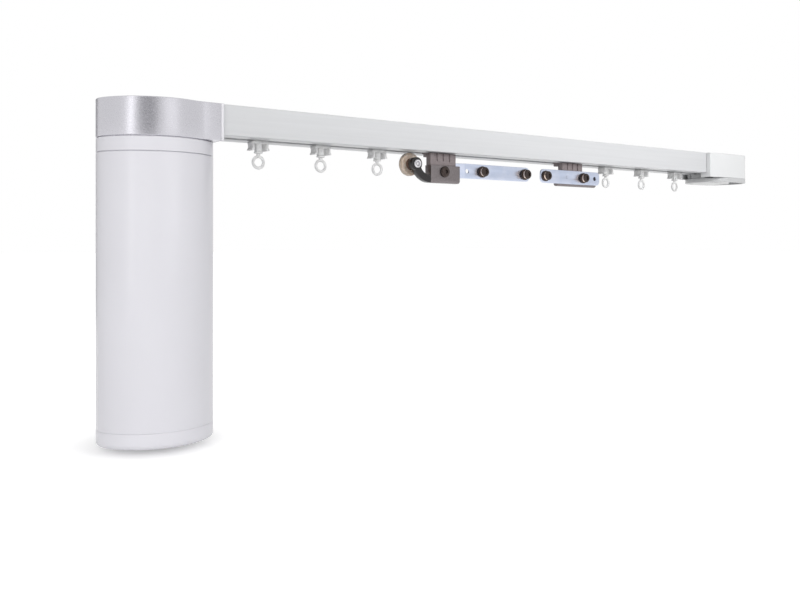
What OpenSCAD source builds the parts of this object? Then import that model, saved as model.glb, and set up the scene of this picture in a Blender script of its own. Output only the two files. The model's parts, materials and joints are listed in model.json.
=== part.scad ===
// Electric curtain track: a short ceiling rail with a hanging drive motor at one end,
// a belt running inside it, two master carriers that meet in the middle and six eye gliders.
// The origin is the middle of the rail's top face. X runs along the rail, away from the motor,
// Y runs to the back and Z up.

/* [Rail] */
// Length of rail that shows between the two housings
rail_span = 580; // [560:10:1200]
// Width of the rail
rail_w = 38.5; // [38:0.5:42]
// Height of the rail
rail_h = 22; // [21:0.5:25]
// Wall thickness of the extrusion
rail_wall = 1.5; // [1.2:0.1:1.8]
// Length of rail pushed into each housing
rail_seat = 14; // [10:1:16]
// Width of the runner slot in the underside
slot_w = 9; // [8.5:0.5:10]
// Width of the clip slot in the top
clip_slot_w = 10; // [8:0.5:12]
// Width of the hollow under the clip slot's lips
clip_hollow_w = 16; // [14:0.5:17]
// Height of the hollow under the clip slot's lips
clip_hollow_h = 3; // [2:0.25:3.5]

/* [Motor case] */
// Width of the motor case along the rail, without the bulge of its far side
case_w = 76; // [74:1:84]
// How far the side away from the rail bulges beyond that width
case_bulge = 4.2; // [0:0.2:6]
// Lean of that side behind its bulge, where it draws in towards the back
case_lean = 20; // [10:1:26]
// Radius of the front corners, which run smoothly into the curved front
case_side_r = 21; // [19:0.5:23]
// Distance from the middle of the rail to the curved front
case_front = 25.6; // [25:0.2:30]
// Distance from the middle of the rail to the flat back
case_back = 36; // [35:1:46]
// Radius of the curved front
case_front_r = 45; // [44:1:56]
// Radius of the back corners
case_corner_r = 7; // [3:0.5:10]
// Wall thickness of the motor case
case_wall = 2.2; // [1.8:0.1:2.6]
// Height of the collar under the drive housing
collar_h = 10.7; // [9:0.1:14]
// Height of the case tube
case_h = 189.8; // [185:0.2:260]
// Height of the bottom cap
cap_h = 11.2; // [10:0.2:18]
// Radius of the bottom edge of the cap
cap_round = 3.5; // [3:0.5:8]

/* [Drive housing] */
// Height of the drive housing
housing_h = 26.3; // [26:0.1:32]
// Wall thickness of the drive housing and the end housing
housing_wall = 2.4; // [2:0.1:3]
// Radius of the hollow where the neck to the rail leaves the curved front
neck_blend_r = 30; // [24:1:36]
// Thickness of the base plate under the drive housing
base_t = 2.6; // [2:0.1:3]
// Length of the bright frame round the mouth
trim_len = 2.2; // [1.5:0.1:3]

/* [End housing] */
// Length of the end housing
end_len = 79; // [72:1:90]
// Distance from the middle of the rail to the bowed side of the end housing
end_half = 27; // [25:0.5:32]
// Radius of the bowed sides of the end housing
end_side_r = 300; // [200:10:500]
// Height of the end housing
end_h = 27; // [26:0.5:32]
// Radius of the outer corners of the end housing
end_corner_r = 22; // [12:0.5:25]
// Thickness of the end base plate
end_base_t = 5; // [4:0.5:8]
// Distance from the rail's mouth back to the end base plate
base_setback = 10; // [9:0.5:12]
// Radius of the end base plate's corners under the rail
nose_r = 26; // [20:0.5:26.5]
// Distance from the rail's mouth to the idler axis
idler_reach = 35; // [33:0.5:38]

/* [Belt drive] */
// Outer radius of the pulley teeth
pulley_r = 11.2; // [10.8:0.1:11.6]
// Teeth on each pulley
pulley_teeth = 15; // [12:1:18]
// Height of the belt
belt_w = 8; // [6:0.5:9]
// Thickness of the belt without its teeth
belt_t = 1.2; // [1:0.1:1.6]
// Distance between belt teeth
belt_pitch = 5; // [4:0.5:8]
// Radius of the output shaft
shaft_r = 4; // [3.5:0.1:5]

/* [Gearbox] */
// Tooth module
gear_module = 0.75; // [0.7:0.01:0.78]
// Teeth on the sun gear
sun_teeth = 12; // [12:3:12]
// Teeth on each planet gear
planet_teeth = 18; // [18:3:18]
// Thickness of the gears
gear_t = 9; // [7:0.5:10]
// Outer radius of the gearbox
gearbox_r = 21.5; // [20.8:0.1:22]
// Length of the gearbox
gearbox_h = 36; // [32:1:44]

/* [Motor] */
// Outer radius of the motor can
can_r = 19; // [17.5:0.5:21]
// Length of the motor can
can_h = 80; // [70:1:90]
// Radius of the armature
armature_r = 9; // [7:0.5:11]
// Radius of the motor shaft
rotor_r = 2.5; // [2:0.1:2.8]

/* [Carriers] */
// Length of each carrier block
block_len = 28; // [26:0.5:30]
// Middle of the left carrier block
left_block_x = -82.5; // [-85:0.5:-80]
// Middle of the right carrier block
right_block_x = 80; // [78:0.5:82]
// Thickness of the carrier blocks
block_t = 6; // [5:0.1:6.2]
// Height of the carrier blocks
block_h = 10.6; // [10:0.1:11.4]
// Height of the arm strips
arm_h = 13; // [12:0.1:14]
// Thickness of the arm strips
arm_t = 1.5; // [1.2:0.1:2]
// Distance from the middle of the rail to the front of the arm strips
arm_front = 14; // [13.5:0.1:15]
// Free end of the left arm
left_arm_end = 19.5; // [18:0.5:22]
// Free end of the right arm
right_arm_start = 34.5; // [33:0.1:36]
// Hooked end of the right arm
right_arm_end = 117.3; // [116:0.1:120]
// Distance between the snap studs of one arm
stud_pitch = 52.6; // [50:0.2:54]
// Outer radius of the snap studs
stud_r = 5.1; // [4:0.1:5.4]
// Radius of the anti-tilt roller
roller_r = 9.8; // [9:0.1:10]

/* [Gliders] */
// Distance from the middle of the rail to the inner glider on each side
glider_first = 143.3; // [141:0.1:146]
// Distance from the motor's end of the rail to the nearest glider
left_glider_gap = 37.5; // [34:0.5:40]
// Distance from the far end of the rail to the nearest glider
right_glider_gap = 31; // [29:0.5:36]
// Length of a glider
glider_len = 13.6; // [12:0.2:14]
// Outer radius of a glider's eye
eye_r = 5.4; // [4.5:0.1:6]
// Thickness of the eye's ring
eye_t = 2.2; // [1.8:0.1:2.6]

/* [Hidden] */
$fn = 96;

// Clearances shared by all pieces
fit = 0.1;
run = 0.05;
clear = 0.3;
eps = 0.01;
far = 400;

// Heights, all measured down from the rail's top face
rail_low = -rail_h;
lip_top = rail_low + rail_wall;
housing_low = -housing_h;
base_top = housing_low + base_t;
collar_low = housing_low - collar_h;
case_low = collar_low - case_h;
cap_low = case_low - cap_h;
end_low = -end_h;
end_base_low = end_low - end_base_t;
clip_floor = -2 * rail_wall - clip_hollow_h;
belt_mid = (clip_floor + lip_top) / 2;
belt_top = belt_mid + belt_w / 2;
belt_low = belt_mid - belt_w / 2;

// Places along the rail
mouth_x = -rail_span / 2;
end_x = rail_span / 2;
mouth_inset = 0.3;
mouth_reach = case_w / 2 - mouth_inset;
drive_x = mouth_x - mouth_reach;
rail_left = mouth_x - rail_seat;
rail_right = end_x + rail_seat;
idler_x = end_x + idler_reach;
end_tip = end_x + end_len;

// Belt and pulleys
belt_in = pulley_r + clear;
belt_out = belt_in + belt_t;
tooth_h = 1;
hub_gap = clear;
flange_t = 1.2;
flange_r = belt_out + 0.6;
tooth_from = drive_x + flange_r + 2;
tooth_to = idler_x - flange_r - 2;
turn_steps = 32;
pulley_low = belt_low - hub_gap - flange_t;
pulley_top = belt_top + hub_gap + flange_t;

// Housings
neck_w = rail_w + 2 * fit + 2 * housing_wall;
// The front arc is at least a wall wider than the wider half of the case
front_arc_r = max(case_front_r, case_w / 2 + case_bulge + case_wall);
arc_y = front_arc_r - case_front;
side_in = front_arc_r - case_side_r;
left_in = case_w / 2 + case_bulge - case_side_r;
right_in = case_w / 2 - case_side_r;
left_centre = [-left_in, arc_y - sqrt(pow(side_in, 2) - pow(left_in, 2))];
right_centre = [right_in, arc_y - sqrt(pow(side_in, 2) - pow(right_in, 2))];
left_lean = 270 - asin(left_in / side_in);
right_lean = 270 + asin(right_in / side_in);
left_turn = 180 - case_lean;
back_y = case_back - case_corner_r;
back_right = case_w / 2 - case_corner_r;
back_left = (case_side_r - case_corner_r + left_in * cos(case_lean)
    + (left_centre[1] - back_y) * sin(case_lean)) / cos(case_lean);
arc_steps = 8;
blend_y = -neck_w / 2 - neck_blend_r;
blend_x = sqrt(pow(front_arc_r + neck_blend_r, 2) - pow(arc_y - blend_y, 2));
blend_from = 90;
blend_lean = 360 - atan2(arc_y - blend_y, blend_x);
blend_to = blend_lean - 180;
blend_steps = 8;
boss_r = 3.2;
screw_r = 1.5;
screw_head_r = 2.8;
screw_head_t = 1.6;
boss_depth = 12;
boss_in = 0.6;
rear_boss = [back_right - boss_in, back_y - boss_in];
rear_boss_left = [boss_in - back_left, back_y - boss_in];
front_boss_angle = 43;
front_boss_reach = front_arc_r - housing_wall - screw_head_r - 1;
front_boss = [-front_boss_reach * sin(front_boss_angle), arc_y - front_boss_reach * cos(front_boss_angle)];
housing_bosses = [rear_boss, rear_boss_left, front_boss];
bush_r = shaft_r + 2.5;
pilot_r = shaft_r - 1;
pilot_boss_r = pilot_r + 2.5;
pilot_low = -housing_wall - 5;

// End housing
end_corner_rise = 0.6;
front_pair_x = rail_right + boss_r + 5;
front_pair_y = rail_w / 2 - boss_r + 0.5;
end_bosses = [
    [front_pair_x, -front_pair_y], [front_pair_x, front_pair_y],
    [end_tip - housing_wall - boss_r - 4, rail_w / 2 - boss_r - 3]
];
tension_r = 2;
idler_axle_r = 2.5;
fork_t = 2.5;
fork_w = 2 * pulley_r;
fork_back_x = idler_x + flange_r + 1;
fork_back_len = 6;
lug_x = fork_back_x + fork_back_len + 2;
lug_t = 3;
lug_half = 6;
tension_head_t = 3;
access_w = 12;
access_len = 11;
service_from = 32;
service_to = 4;
end_rest_half = 8;
end_rest_from = base_setback + 1.2;
mouth_gap_half = 12;

// Gears
pressure_angle = 25;
ring_teeth = sun_teeth + 2 * planet_teeth;
orbit_r = gear_module * (sun_teeth + planet_teeth) / 2;
addendum = 0.85 * gear_module;
dedendum = 1.1 * gear_module;
backlash = 0.1;
flank_steps = 3;
gearbox_top = housing_low - base_t;
gearbox_low = gearbox_top - gearbox_h;
gearbox_plate = 3;
carrier_disc_t = 3;
carrier_disc_r = orbit_r + 3;
carrier_disc_top = gearbox_top - gearbox_plate - 1.5;
carrier_disc_low = carrier_disc_top - carrier_disc_t;
gear_top = carrier_disc_low - 0.5;
gear_low = gear_top - gear_t;
planet_pin_r = 1.5;
can_low = gearbox_low - can_h;
can_wall = 1.5;
can_plate = 2;
magnet_t = 3;
cradle_t = 4;
cradle_low = can_low - cradle_t;

// Board, inlet and button in the foot of the case
board_t = 1.6;
board_y = 8;
board_w = case_w - 2 * case_wall - 10;
board_low = case_low + 3;
relay_size = [22, 12, 18];
driver_size = [18, 8, 12];
driver_x = 2;
buffer_r = 3.5;
buffer_h = 10;
buffer_pitch = 9;
cap_wall = 2.2;
cap_floor = cap_low + cap_wall;
inlet_w = 22;
inlet_d = 12;
inlet_h = 15;
inlet_y = case_back - 16;
button_r = 3.5;
button_x = -case_w / 4;
button_y = case_back / 2;
button_recess = 0.5;
button_h = 9;
cap_boss_inset = cap_round + boss_r + 0.2;
cap_bosses = [[back_right, back_y], [-back_left, back_y], [0, -case_front + cap_boss_inset]];
web_t = 2;
cap_pillar_h = 22;
cap_detail = 0.5;

// Carriers
slot_half = slot_w / 2 - clear;
shoe_low = lip_top + 0.2;
shoe_half = 8;
shoe_len = block_len - 7;
block_top = rail_low - 0.4;
block_low = block_top - block_h;
flange_inset = 5;
flange_h = 2.5;
rib_w = 1.8;
rib_count = 4;
rib_depth = 1.2;
rib_foot = 3.5;
arm_top = block_top - 7.6;
arm_mid = arm_top - arm_h / 2;
arm_back = arm_front - arm_t;
block_front = arm_back - fit;
block_back = block_front - block_t;
bracket_low = arm_mid - arm_h / 2 - 5.1;
right_bracket_low = bracket_low + 3;
bracket_corner = 2.5;
bracket_wall = 3;
tail_front = arm_back - 0.7;
tail_back = tail_front - arm_t;
pocket = 0.1;
left_block_start = left_block_x - block_len / 2;
left_block_end = left_block_x + block_len / 2;
right_block_start = right_block_x - block_len / 2;
left_bracket_start = left_block_start - 1.1;
left_bracket_end = left_block_end + 3;
jog_gap = 0.8;
jog_len = 5;
left_stud_x = left_arm_end - stud_r - 1;
left_studs_at = [left_stud_x - stud_pitch, left_stud_x];
right_stud_x = right_arm_start + stud_r + 1;
right_studs_at = [right_stud_x, right_stud_x + stud_pitch];
arm_hole_r = 2;
left_hole_x = left_bracket_end + 9;
right_hole_x = right_arm_end - 7;
arm_screw_r = 2;
arm_screw_tip_r = 1.6;
arm_screw_head_r = 4.8;
arm_screw_rim = 0.6;
arm_screw_head_t = 2.4;
left_screw_x = left_block_x;
left_screw_z = arm_mid - 1.8;
right_screw_x = right_block_start + 5;
right_bracket_start = right_block_start - 6.2;
right_bracket_end = right_arm_end - 3.5;
clamp_len = 24;
clamp_wall = 1.5;
clamp_in = belt_in - tooth_h - clear;
clamp_out = belt_out + clear;
stud_shank_r = 1.9;
stud_head_r = 4.3;
stud_back_r = 3;
stud_back_t = 0.8;
stud_base_t = 1.6;
stud_ring_t = 2;
stud_head_t = 1.8;
stud_len = stud_base_t + stud_ring_t + stud_head_t;

// Anti-tilt roller
roller_x = left_block_start - 16;
roller_gap = 1;
roller_z = rail_low - roller_gap - roller_r;
roller_front = 6;
roller_w = 5;
roller_hub_r = 5;
roller_hub_reach = 2.7;
roller_pin_r = 2;
roller_arm_front = arm_front + 0.5;
roller_arm_t = roller_arm_front - roller_front - roller_hub_reach - clear;
roller_arm_band = 6;
roller_arm_r = left_bracket_start - roller_x + roller_arm_band / 2;
pin_head_r = 3.6;
pin_head_t = 2;

// Gliders
left_glider_pitch = (rail_span / 2 - left_glider_gap - glider_first) / 2;
right_glider_pitch = (rail_span / 2 - right_glider_gap - glider_first) / 2;
glider_x = concat(
    [for (i = [2 : -1 : 0]) -glider_first - i * left_glider_pitch],
    [for (i = [0 : 2]) glider_first + i * right_glider_pitch]
);
glider_shoe_t = 3;
glider_shoe_half = 7;
glider_plate_t = 2;
glider_half = 4.5;
glider_neck_len = 10;
glider_top = rail_low - 0.5;
glider_leg_t = 1.7;
glider_leg_low = glider_top - 7;
glider_foot = 0.9;
glider_boss_r = 3;
glider_boss_low = glider_top - 7.4;
eye_stem_r = 1.4;
eye_head_r = 2.4;
eye_head_t = 1.2;
eye_seat = shoe_low + glider_shoe_t - eye_head_t - 0.8;
eye_collar_r = 3.3;
eye_collar_t = 1.4;
eye_neck_r = 1.5;
eye_collar_top = glider_boss_low - 0.2;
eye_mid = eye_collar_top - eye_collar_t - 1.3 - eye_r;

// Points along an arc, without the first, which the outline already has
function arc(centre, r, from, to, steps) =
    [for (i = [1 : steps]) centre + on_circle(r, from + (to - from) * i / steps)];

// Outline of the motor: curved front, round front corners and a flat back, drawn in by inset
module case_plan(inset = 0, detail = 1) {
    front = [0, arc_y];
    front_r = front_arc_r - inset;
    side_r = case_side_r - inset;
    corner = max(case_corner_r - inset, 0.5);
    spare = case_corner_r - inset - corner;
    right = [back_right + spare, back_y + spare];
    left = [-back_left - spare, back_y + spare];
    polygon(concat(
        arc(front, front_r, left_lean, blend_lean, 3 * arc_steps * detail),
        arc(front, front_r, blend_lean, right_lean, arc_steps * detail),
        arc(right_centre, side_r, right_lean, 360, 1.5 * arc_steps * detail),
        [right + [corner, 0]],
        arc(right, corner, 0, 90, arc_steps * detail),
        [left + [0, corner]],
        arc(left, corner, 90, left_turn, arc_steps * detail),
        [left_centre + on_circle(side_r, left_turn)],
        arc(left_centre, side_r, left_turn, left_lean, arc_steps * detail)
    ));
}

// Outline of the drive housing: the motor's outline with a neck that reaches the rail
module housing_plan() {
    blend = [for (i = [0 : blend_steps])
        [blend_x, blend_y] + on_circle(neck_blend_r, blend_from + (blend_to - blend_from) * i / blend_steps)];
    case_plan();
    polygon(concat(blend, [
        [0, 0], [0, neck_w / 2], [mouth_reach, neck_w / 2], [mouth_reach, -neck_w / 2]
    ]));
}

// Outline of the end housing: bowed sides and rounded far corners; with a mouth radius it starts at from
module end_plan(inset = 0, from = 0, mouth_r = 0) {
    half = end_half + end_corner_rise - inset;
    start = from + inset;
    side_y = end_side_r - end_half;
    intersection() {
        translate([end_len / 2, side_y]) circle(r = end_side_r - inset);
        translate([end_len / 2, -side_y]) circle(r = end_side_r - inset);
        difference() {
            translate([start, -half]) square([end_len - inset - start, 2 * half]);
            for (side = [-1, 1]) {
                translate([end_len - inset, side * half]) corner_waste(end_corner_r - inset, side, -1);
                if (mouth_r > 0) translate([start, side * half]) corner_waste(mouth_r - inset, side, 1);
            }
        }
    }
}

// The sliver that rounds off one corner of an outline
module corner_waste(r, side, way) {
    difference() {
        square(2 * r, center = true);
        translate([way * r, -side * r]) circle(r = r);
    }
}

// A block of rounded underside edges, running along X
module rounded_bar(length, front, back, low, top, corner) {
    rotate([90, 0, 90])
        linear_extrude(length)
            difference() {
                translate([-front, low]) square([front + back, top - low]);
                translate([-front, low]) corner_waste(corner, -1, 1);
                translate([back, low]) corner_waste(corner, -1, -1);
            }
}

// A screw whose head is at the bottom and whose shank points up
module screw_up(shank, shank_r, head_r, head_t) {
    cylinder(r = head_r, h = head_t);
    translate([0, 0, head_t]) cylinder(r = shank_r, h = shank);
}

// Rail

module rail() {
    inner = rail_w / 2 - rail_wall;
    clip_half = clip_hollow_w / 2 + rail_wall;
    color("white")
        translate([rail_left, 0, 0])
            rotate([90, 0, 90])
                linear_extrude(rail_right - rail_left)
                    difference() {
                        translate([-rail_w / 2, -rail_h]) square([rail_w, rail_h]);
                        difference() {
                            translate([-inner, lip_top]) square([2 * inner, -rail_wall - lip_top]);
                            translate([-clip_half, clip_floor]) square([2 * clip_half, -clip_floor]);
                        }
                        translate([-clip_hollow_w / 2, clip_floor + rail_wall])
                            square([clip_hollow_w, clip_hollow_h]);
                        translate([-clip_slot_w / 2, -2 * rail_wall]) square([clip_slot_w, far]);
                        translate([-slot_w / 2, -rail_h - eps]) square([slot_w, rail_h / 2 - rail_wall]);
                    }
}

// Drive housing and motor case

module rail_pocket(from, length) {
    translate([from, -rail_w / 2 - fit, rail_low])
        cube([length, rail_w + 2 * fit, far]);
}

module drive_housing() {
    color("silver")
        difference() {
            union() {
                difference() {
                    translate([drive_x, 0, housing_low]) linear_extrude(housing_h) housing_plan();
                    translate([drive_x, 0, housing_low - eps])
                        linear_extrude(housing_h - housing_wall + eps) case_plan(housing_wall);
                }
                for (at = housing_bosses)
                    translate([drive_x + at[0], at[1], base_top])
                        cylinder(r = boss_r, h = -housing_wall - base_top + eps);
                translate([drive_x, 0, pilot_low])
                    cylinder(r = pilot_boss_r, h = -housing_wall - pilot_low + eps);
            }
            rail_pocket(rail_left, far);
            translate([mouth_x - trim_len, -neck_w / 2, housing_low - eps]) cube([far, neck_w, far]);
            for (at = housing_bosses)
                translate([drive_x + at[0], at[1], base_top - eps])
                    cylinder(r = screw_r + fit / 2, h = boss_depth);
            translate([drive_x, 0, pilot_low - eps])
                cylinder(r = pilot_r + run, h = -housing_wall - pilot_low);
        }
}

module mouth_trim() {
    color("gainsboro")
        difference() {
            translate([mouth_x - trim_len, -neck_w / 2, housing_low]) cube([trim_len, neck_w, housing_h]);
            rail_pocket(mouth_x - far / 2, far);
        }
}

module drive_base() {
    rest_half = rail_w / 2 - rail_wall;
    rest_end = mouth_reach - trim_len - housing_wall;
    color("dimgray")
        difference() {
            union() {
                translate([drive_x, 0, housing_low])
                    linear_extrude(base_t) case_plan(housing_wall + fit);
                intersection() {
                    translate([rail_left, -rest_half, housing_low])
                        cube([rest_end - (rail_left - drive_x), 2 * rest_half, rail_low - housing_low]);
                    translate([drive_x, 0, housing_low])
                        linear_extrude(housing_h) case_plan(housing_wall + fit);
                }
            }
            translate([drive_x, 0, housing_low - eps]) cylinder(r = bush_r + run, h = housing_h);
            for (at = housing_bosses)
                translate([drive_x + at[0], at[1], housing_low - eps]) {
                    cylinder(r = screw_r + fit, h = housing_h);
                    cylinder(r = screw_head_r + fit, h = screw_head_t + eps);
                }
        }
}

module drive_bush() {
    color("goldenrod")
        translate([drive_x, 0, housing_low])
            difference() {
                union() {
                    cylinder(r = bush_r, h = base_t);
                    translate([0, 0, base_t]) cylinder(r = bush_r + 1.5, h = 1);
                }
                translate([0, 0, -eps]) cylinder(r = shaft_r + run, h = far);
            }
}

module housing_screws() {
    color("darkgray")
        for (at = housing_bosses)
            translate([drive_x + at[0], at[1], housing_low])
                screw_up(boss_depth - 2, screw_r, screw_head_r, screw_head_t);
}

module motor_collar() {
    color("whitesmoke")
        difference() {
            translate([drive_x, 0, collar_low]) linear_extrude(collar_h) case_plan();
            translate([drive_x, 0, collar_low - eps])
                linear_extrude(gearbox_top - collar_low + eps) case_plan(case_wall);
            translate([drive_x, 0, collar_low]) cylinder(r = bush_r + 1, h = far);
        }
}

module motor_case() {
    color("white")
        translate([drive_x, 0, case_low])
            difference() {
                union() {
                    difference() {
                        linear_extrude(case_h) case_plan();
                        translate([0, 0, -eps]) linear_extrude(case_h + 2 * eps) case_plan(case_wall);
                    }
                    for (at = cap_bosses) {
                        translate([at[0], at[1], 0]) cylinder(r = boss_r, h = cap_pillar_h);
                        intersection() {
                            linear_extrude(cap_pillar_h) case_plan(case_wall / 2);
                            pillar_web(at);
                        }
                    }
                }
                for (at = cap_bosses)
                    translate([at[0], at[1], -eps]) cylinder(r = screw_r + fit / 2, h = boss_depth);
            }
}

// Web that ties a screw pillar to the nearest wall of the case
module pillar_web(at) {
    way = at[0] == 0 ? -90 : at[0] > 0 ? 0 : 180;
    translate([at[0], at[1], 0])
        rotate(way) translate([0, -web_t / 2, 0]) cube([case_w / 2, web_t, cap_pillar_h]);
}

// Rounded foot of the case: one convex skin over slices that follow a quarter circle
module cap_skin() {
    hull()
        for (a = [0 : 15 : 90])
            translate([0, 0, cap_low + cap_round * (1 - sin(a))])
                linear_extrude(a == 0 ? cap_h - cap_round : eps)
                    case_plan(cap_round * (1 - cos(a)), cap_detail);
}

module bottom_cap() {
    button_at = [drive_x + button_x, button_y];
    color("white")
        difference() {
            union() {
                difference() {
                    translate([drive_x, 0, 0]) cap_skin();
                    translate([drive_x, 0, cap_floor]) linear_extrude(far) case_plan(cap_round);
                }
                for (at = cap_bosses)
                    translate([drive_x + at[0], at[1], cap_floor - eps])
                        cylinder(r = boss_r, h = case_low - cap_floor);
                for (side = [-1, 1])
                    translate([drive_x + side * board_w / 3 - 3, board_y - 3, cap_floor - eps])
                        cube([6, board_t + 6, board_low - cap_floor + eps]);
                translate([button_at[0], button_at[1], cap_floor - eps])
                    cylinder(r = button_r + 2, h = button_h - cap_wall);
            }
            for (at = cap_bosses)
                translate([drive_x + at[0], at[1], cap_low - eps]) {
                    cylinder(r = screw_r + fit, h = far);
                    cylinder(r = screw_head_r + fit, h = screw_head_t + 1);
                }
            translate([drive_x - inlet_w / 2 - fit, inlet_y - inlet_d / 2 - fit, cap_low - eps])
                cube([inlet_w + 2 * fit, inlet_d + 2 * fit, far]);
            translate([button_at[0], button_at[1], cap_low - eps]) cylinder(r = button_r + run, h = far);
        }
}

module cap_screws() {
    color("darkgray")
        for (at = cap_bosses)
            translate([drive_x + at[0], at[1], cap_low + 1 - eps])
                screw_up(cap_h + boss_depth - 5, screw_r, screw_head_r, screw_head_t);
}

module power_inlet() {
    pin_r = 1.2;
    well = inlet_h - 4;
    color("black")
        translate([drive_x, inlet_y, cap_low + button_recess]) {
            difference() {
                translate([-inlet_w / 2, -inlet_d / 2, 0]) cube([inlet_w, inlet_d, inlet_h]);
                translate([-inlet_w / 2 + 2, -inlet_d / 2 + 2, -eps]) cube([inlet_w - 4, inlet_d - 4, well]);
            }
            for (side = [-1, 1])
                translate([side * inlet_w / 5, 0, 2]) cylinder(r = pin_r, h = well - 2 + eps);
        }
}

module setting_button() {
    color("silver")
        translate([drive_x + button_x, button_y, cap_low + button_recess]) {
            cylinder(r = button_r, h = button_h);
            translate([0, 0, button_h - 0.5]) cylinder(r = button_r + 1.2, h = 1);
        }
}

// Geared motor

function involute(a) = tan(a) - a * PI / 180;

function tooth_half(teeth, r, thin) =
    let (pitch_r = teeth * gear_module / 2, base_r = pitch_r * cos(pressure_angle))
    (PI / (2 * teeth) - thin / (2 * pitch_r) + involute(pressure_angle)
        - involute(acos(min(1, base_r / r)))) * 180 / PI;

function on_circle(r, a) = [r * cos(a), r * sin(a)];

// Outline of a gear; thin takes width off each tooth
module gear_plan(teeth, tip, root, thin) {
    pitch_r = teeth * gear_module / 2;
    low = max(pitch_r - root, pitch_r * cos(pressure_angle));
    flank = [for (i = [0 : flank_steps]) low + (pitch_r + tip - low) * i / flank_steps];
    polygon([for (k = [0 : teeth - 1]) let (mid = 360 * k / teeth) each concat(
        [on_circle(pitch_r - root, mid - tooth_half(teeth, low, thin))],
        [for (i = [0 : flank_steps]) on_circle(flank[i], mid - tooth_half(teeth, flank[i], thin))],
        [for (i = [flank_steps : -1 : 0]) on_circle(flank[i], mid + tooth_half(teeth, flank[i], thin))],
        [on_circle(pitch_r - root, mid + tooth_half(teeth, low, thin))]
    )]);
}

module gearbox_case() {
    ring_depth = gearbox_h - gearbox_plate;
    color("lightsteelblue")
        translate([drive_x, 0, gearbox_low])
            difference() {
                cylinder(r = gearbox_r, h = gearbox_h);
                translate([0, 0, -eps])
                    rotate(180 / ring_teeth)
                        linear_extrude(ring_depth + eps)
                            gear_plan(ring_teeth, dedendum, addendum, -backlash);
                cylinder(r = shaft_r + 1, h = far);
            }
}

module planet_gear(i) {
    at = on_circle(orbit_r, 120 * i);
    color("gold")
        translate([drive_x + at[0], at[1], gear_low])
            difference() {
                rotate(180 / planet_teeth)
                    linear_extrude(gear_t) gear_plan(planet_teeth, addendum, dedendum, backlash);
                translate([0, 0, -eps]) cylinder(r = planet_pin_r + run, h = far);
            }
}

module sun_gear() {
    color("gold")
        translate([drive_x, 0, gear_low])
            difference() {
                linear_extrude(gear_t) gear_plan(sun_teeth, addendum, dedendum, backlash);
                translate([0, 0, -eps]) cylinder(r = rotor_r + run / 2, h = far);
            }
}

module output_shaft() {
    shaft_top = pulley_top;
    color("silver")
        translate([drive_x, 0, 0]) {
            translate([0, 0, carrier_disc_low]) cylinder(r = carrier_disc_r, h = carrier_disc_t);
            translate([0, 0, carrier_disc_low]) cylinder(r = shaft_r, h = shaft_top - carrier_disc_low);
            translate([0, 0, shaft_top - eps])
                cylinder(r = pilot_r, h = -housing_wall - 1 - shaft_top);
            for (i = [0 : 2])
                rotate(120 * i)
                    translate([orbit_r, 0, gear_low - 0.5])
                        cylinder(r = planet_pin_r, h = carrier_disc_low - gear_low + 1);
        }
}

module motor_rotor() {
    color("sandybrown")
        translate([drive_x, 0, 0]) {
            translate([0, 0, can_low - 1]) cylinder(r = rotor_r, h = gear_top - can_low + 1);
            translate([0, 0, can_low + can_h / 5]) cylinder(r = armature_r, h = can_h / 2);
            translate([0, 0, can_low + can_h / 5 + can_h / 2 - eps])
                cylinder(r = armature_r * 0.6, h = can_h / 8);
        }
}

module motor_can() {
    color("slategray")
        translate([drive_x, 0, can_low])
            difference() {
                union() {
                    cylinder(r = can_r, h = can_h);
                    translate([0, 0, can_h - can_plate]) cylinder(r = gearbox_r, h = can_plate);
                }
                translate([0, 0, can_plate]) cylinder(r = can_r - can_wall, h = can_h - 2 * can_plate);
                translate([0, 0, -eps]) cylinder(r = rotor_r + run, h = far);
            }
}

module stator_magnets() {
    outer = can_r - can_wall - run;
    color("dimgray")
        translate([drive_x, 0, can_low + can_h / 6])
            for (side = [0, 180])
                rotate(side)
                    intersection() {
                        difference() {
                            cylinder(r = outer, h = can_h * 0.6);
                            translate([0, 0, -eps]) cylinder(r = outer - magnet_t, h = far);
                        }
                        translate([-far / 2, 2, 0]) cube(far);
                    }
}

module motor_cradle() {
    color("gray")
        translate([drive_x, 0, cradle_low])
            difference() {
                linear_extrude(cradle_t) case_plan(case_wall + fit);
                translate([0, 0, -eps]) cylinder(r = rotor_r + 3, h = far);
                translate([-board_w / 2 - fit, board_y - fit, -eps])
                    cube([board_w + 2 * fit, board_t + 2 * fit, cradle_t / 2 + eps]);
            }
}

module circuit_board() {
    board_h = cradle_low + cradle_t / 2 - board_low;
    color("darkgreen")
        translate([drive_x, board_y, board_low]) {
            translate([-board_w / 2, 0, 0]) cube([board_w, board_t, board_h]);
            translate([-board_w / 3, eps - relay_size[1], board_h / 2]) cube(relay_size);
            translate([driver_x, eps - driver_size[1], board_h / 2]) cube(driver_size);
            for (i = [0 : 2])
                translate([-board_w / 3 + buffer_pitch * i, eps, board_h / 4])
                    rotate([90, 0, 0]) cylinder(r = buffer_r, h = buffer_h);
        }
}

// Belt drive

// Half turn of the belt round a pulley, starting at the angle from
function belt_turn(x, r, from) =
    [for (i = [0 : turn_steps]) [x, 0] + on_circle(r, from + 180 * i / turn_steps)];

// Teeth along one straight run, pointing to the rail's middle
function belt_teeth(side) = [for (i = [0 : floor((tooth_to - tooth_from) / belt_pitch)])
    let (x = side < 0 ? tooth_from + i * belt_pitch : tooth_to - i * belt_pitch, half = side * belt_pitch / 4)
    each [
        [x + half, side * belt_in], [x + half / 2, side * (belt_in - tooth_h)],
        [x - half / 2, side * (belt_in - tooth_h)], [x - half, side * belt_in]
    ]];

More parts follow.
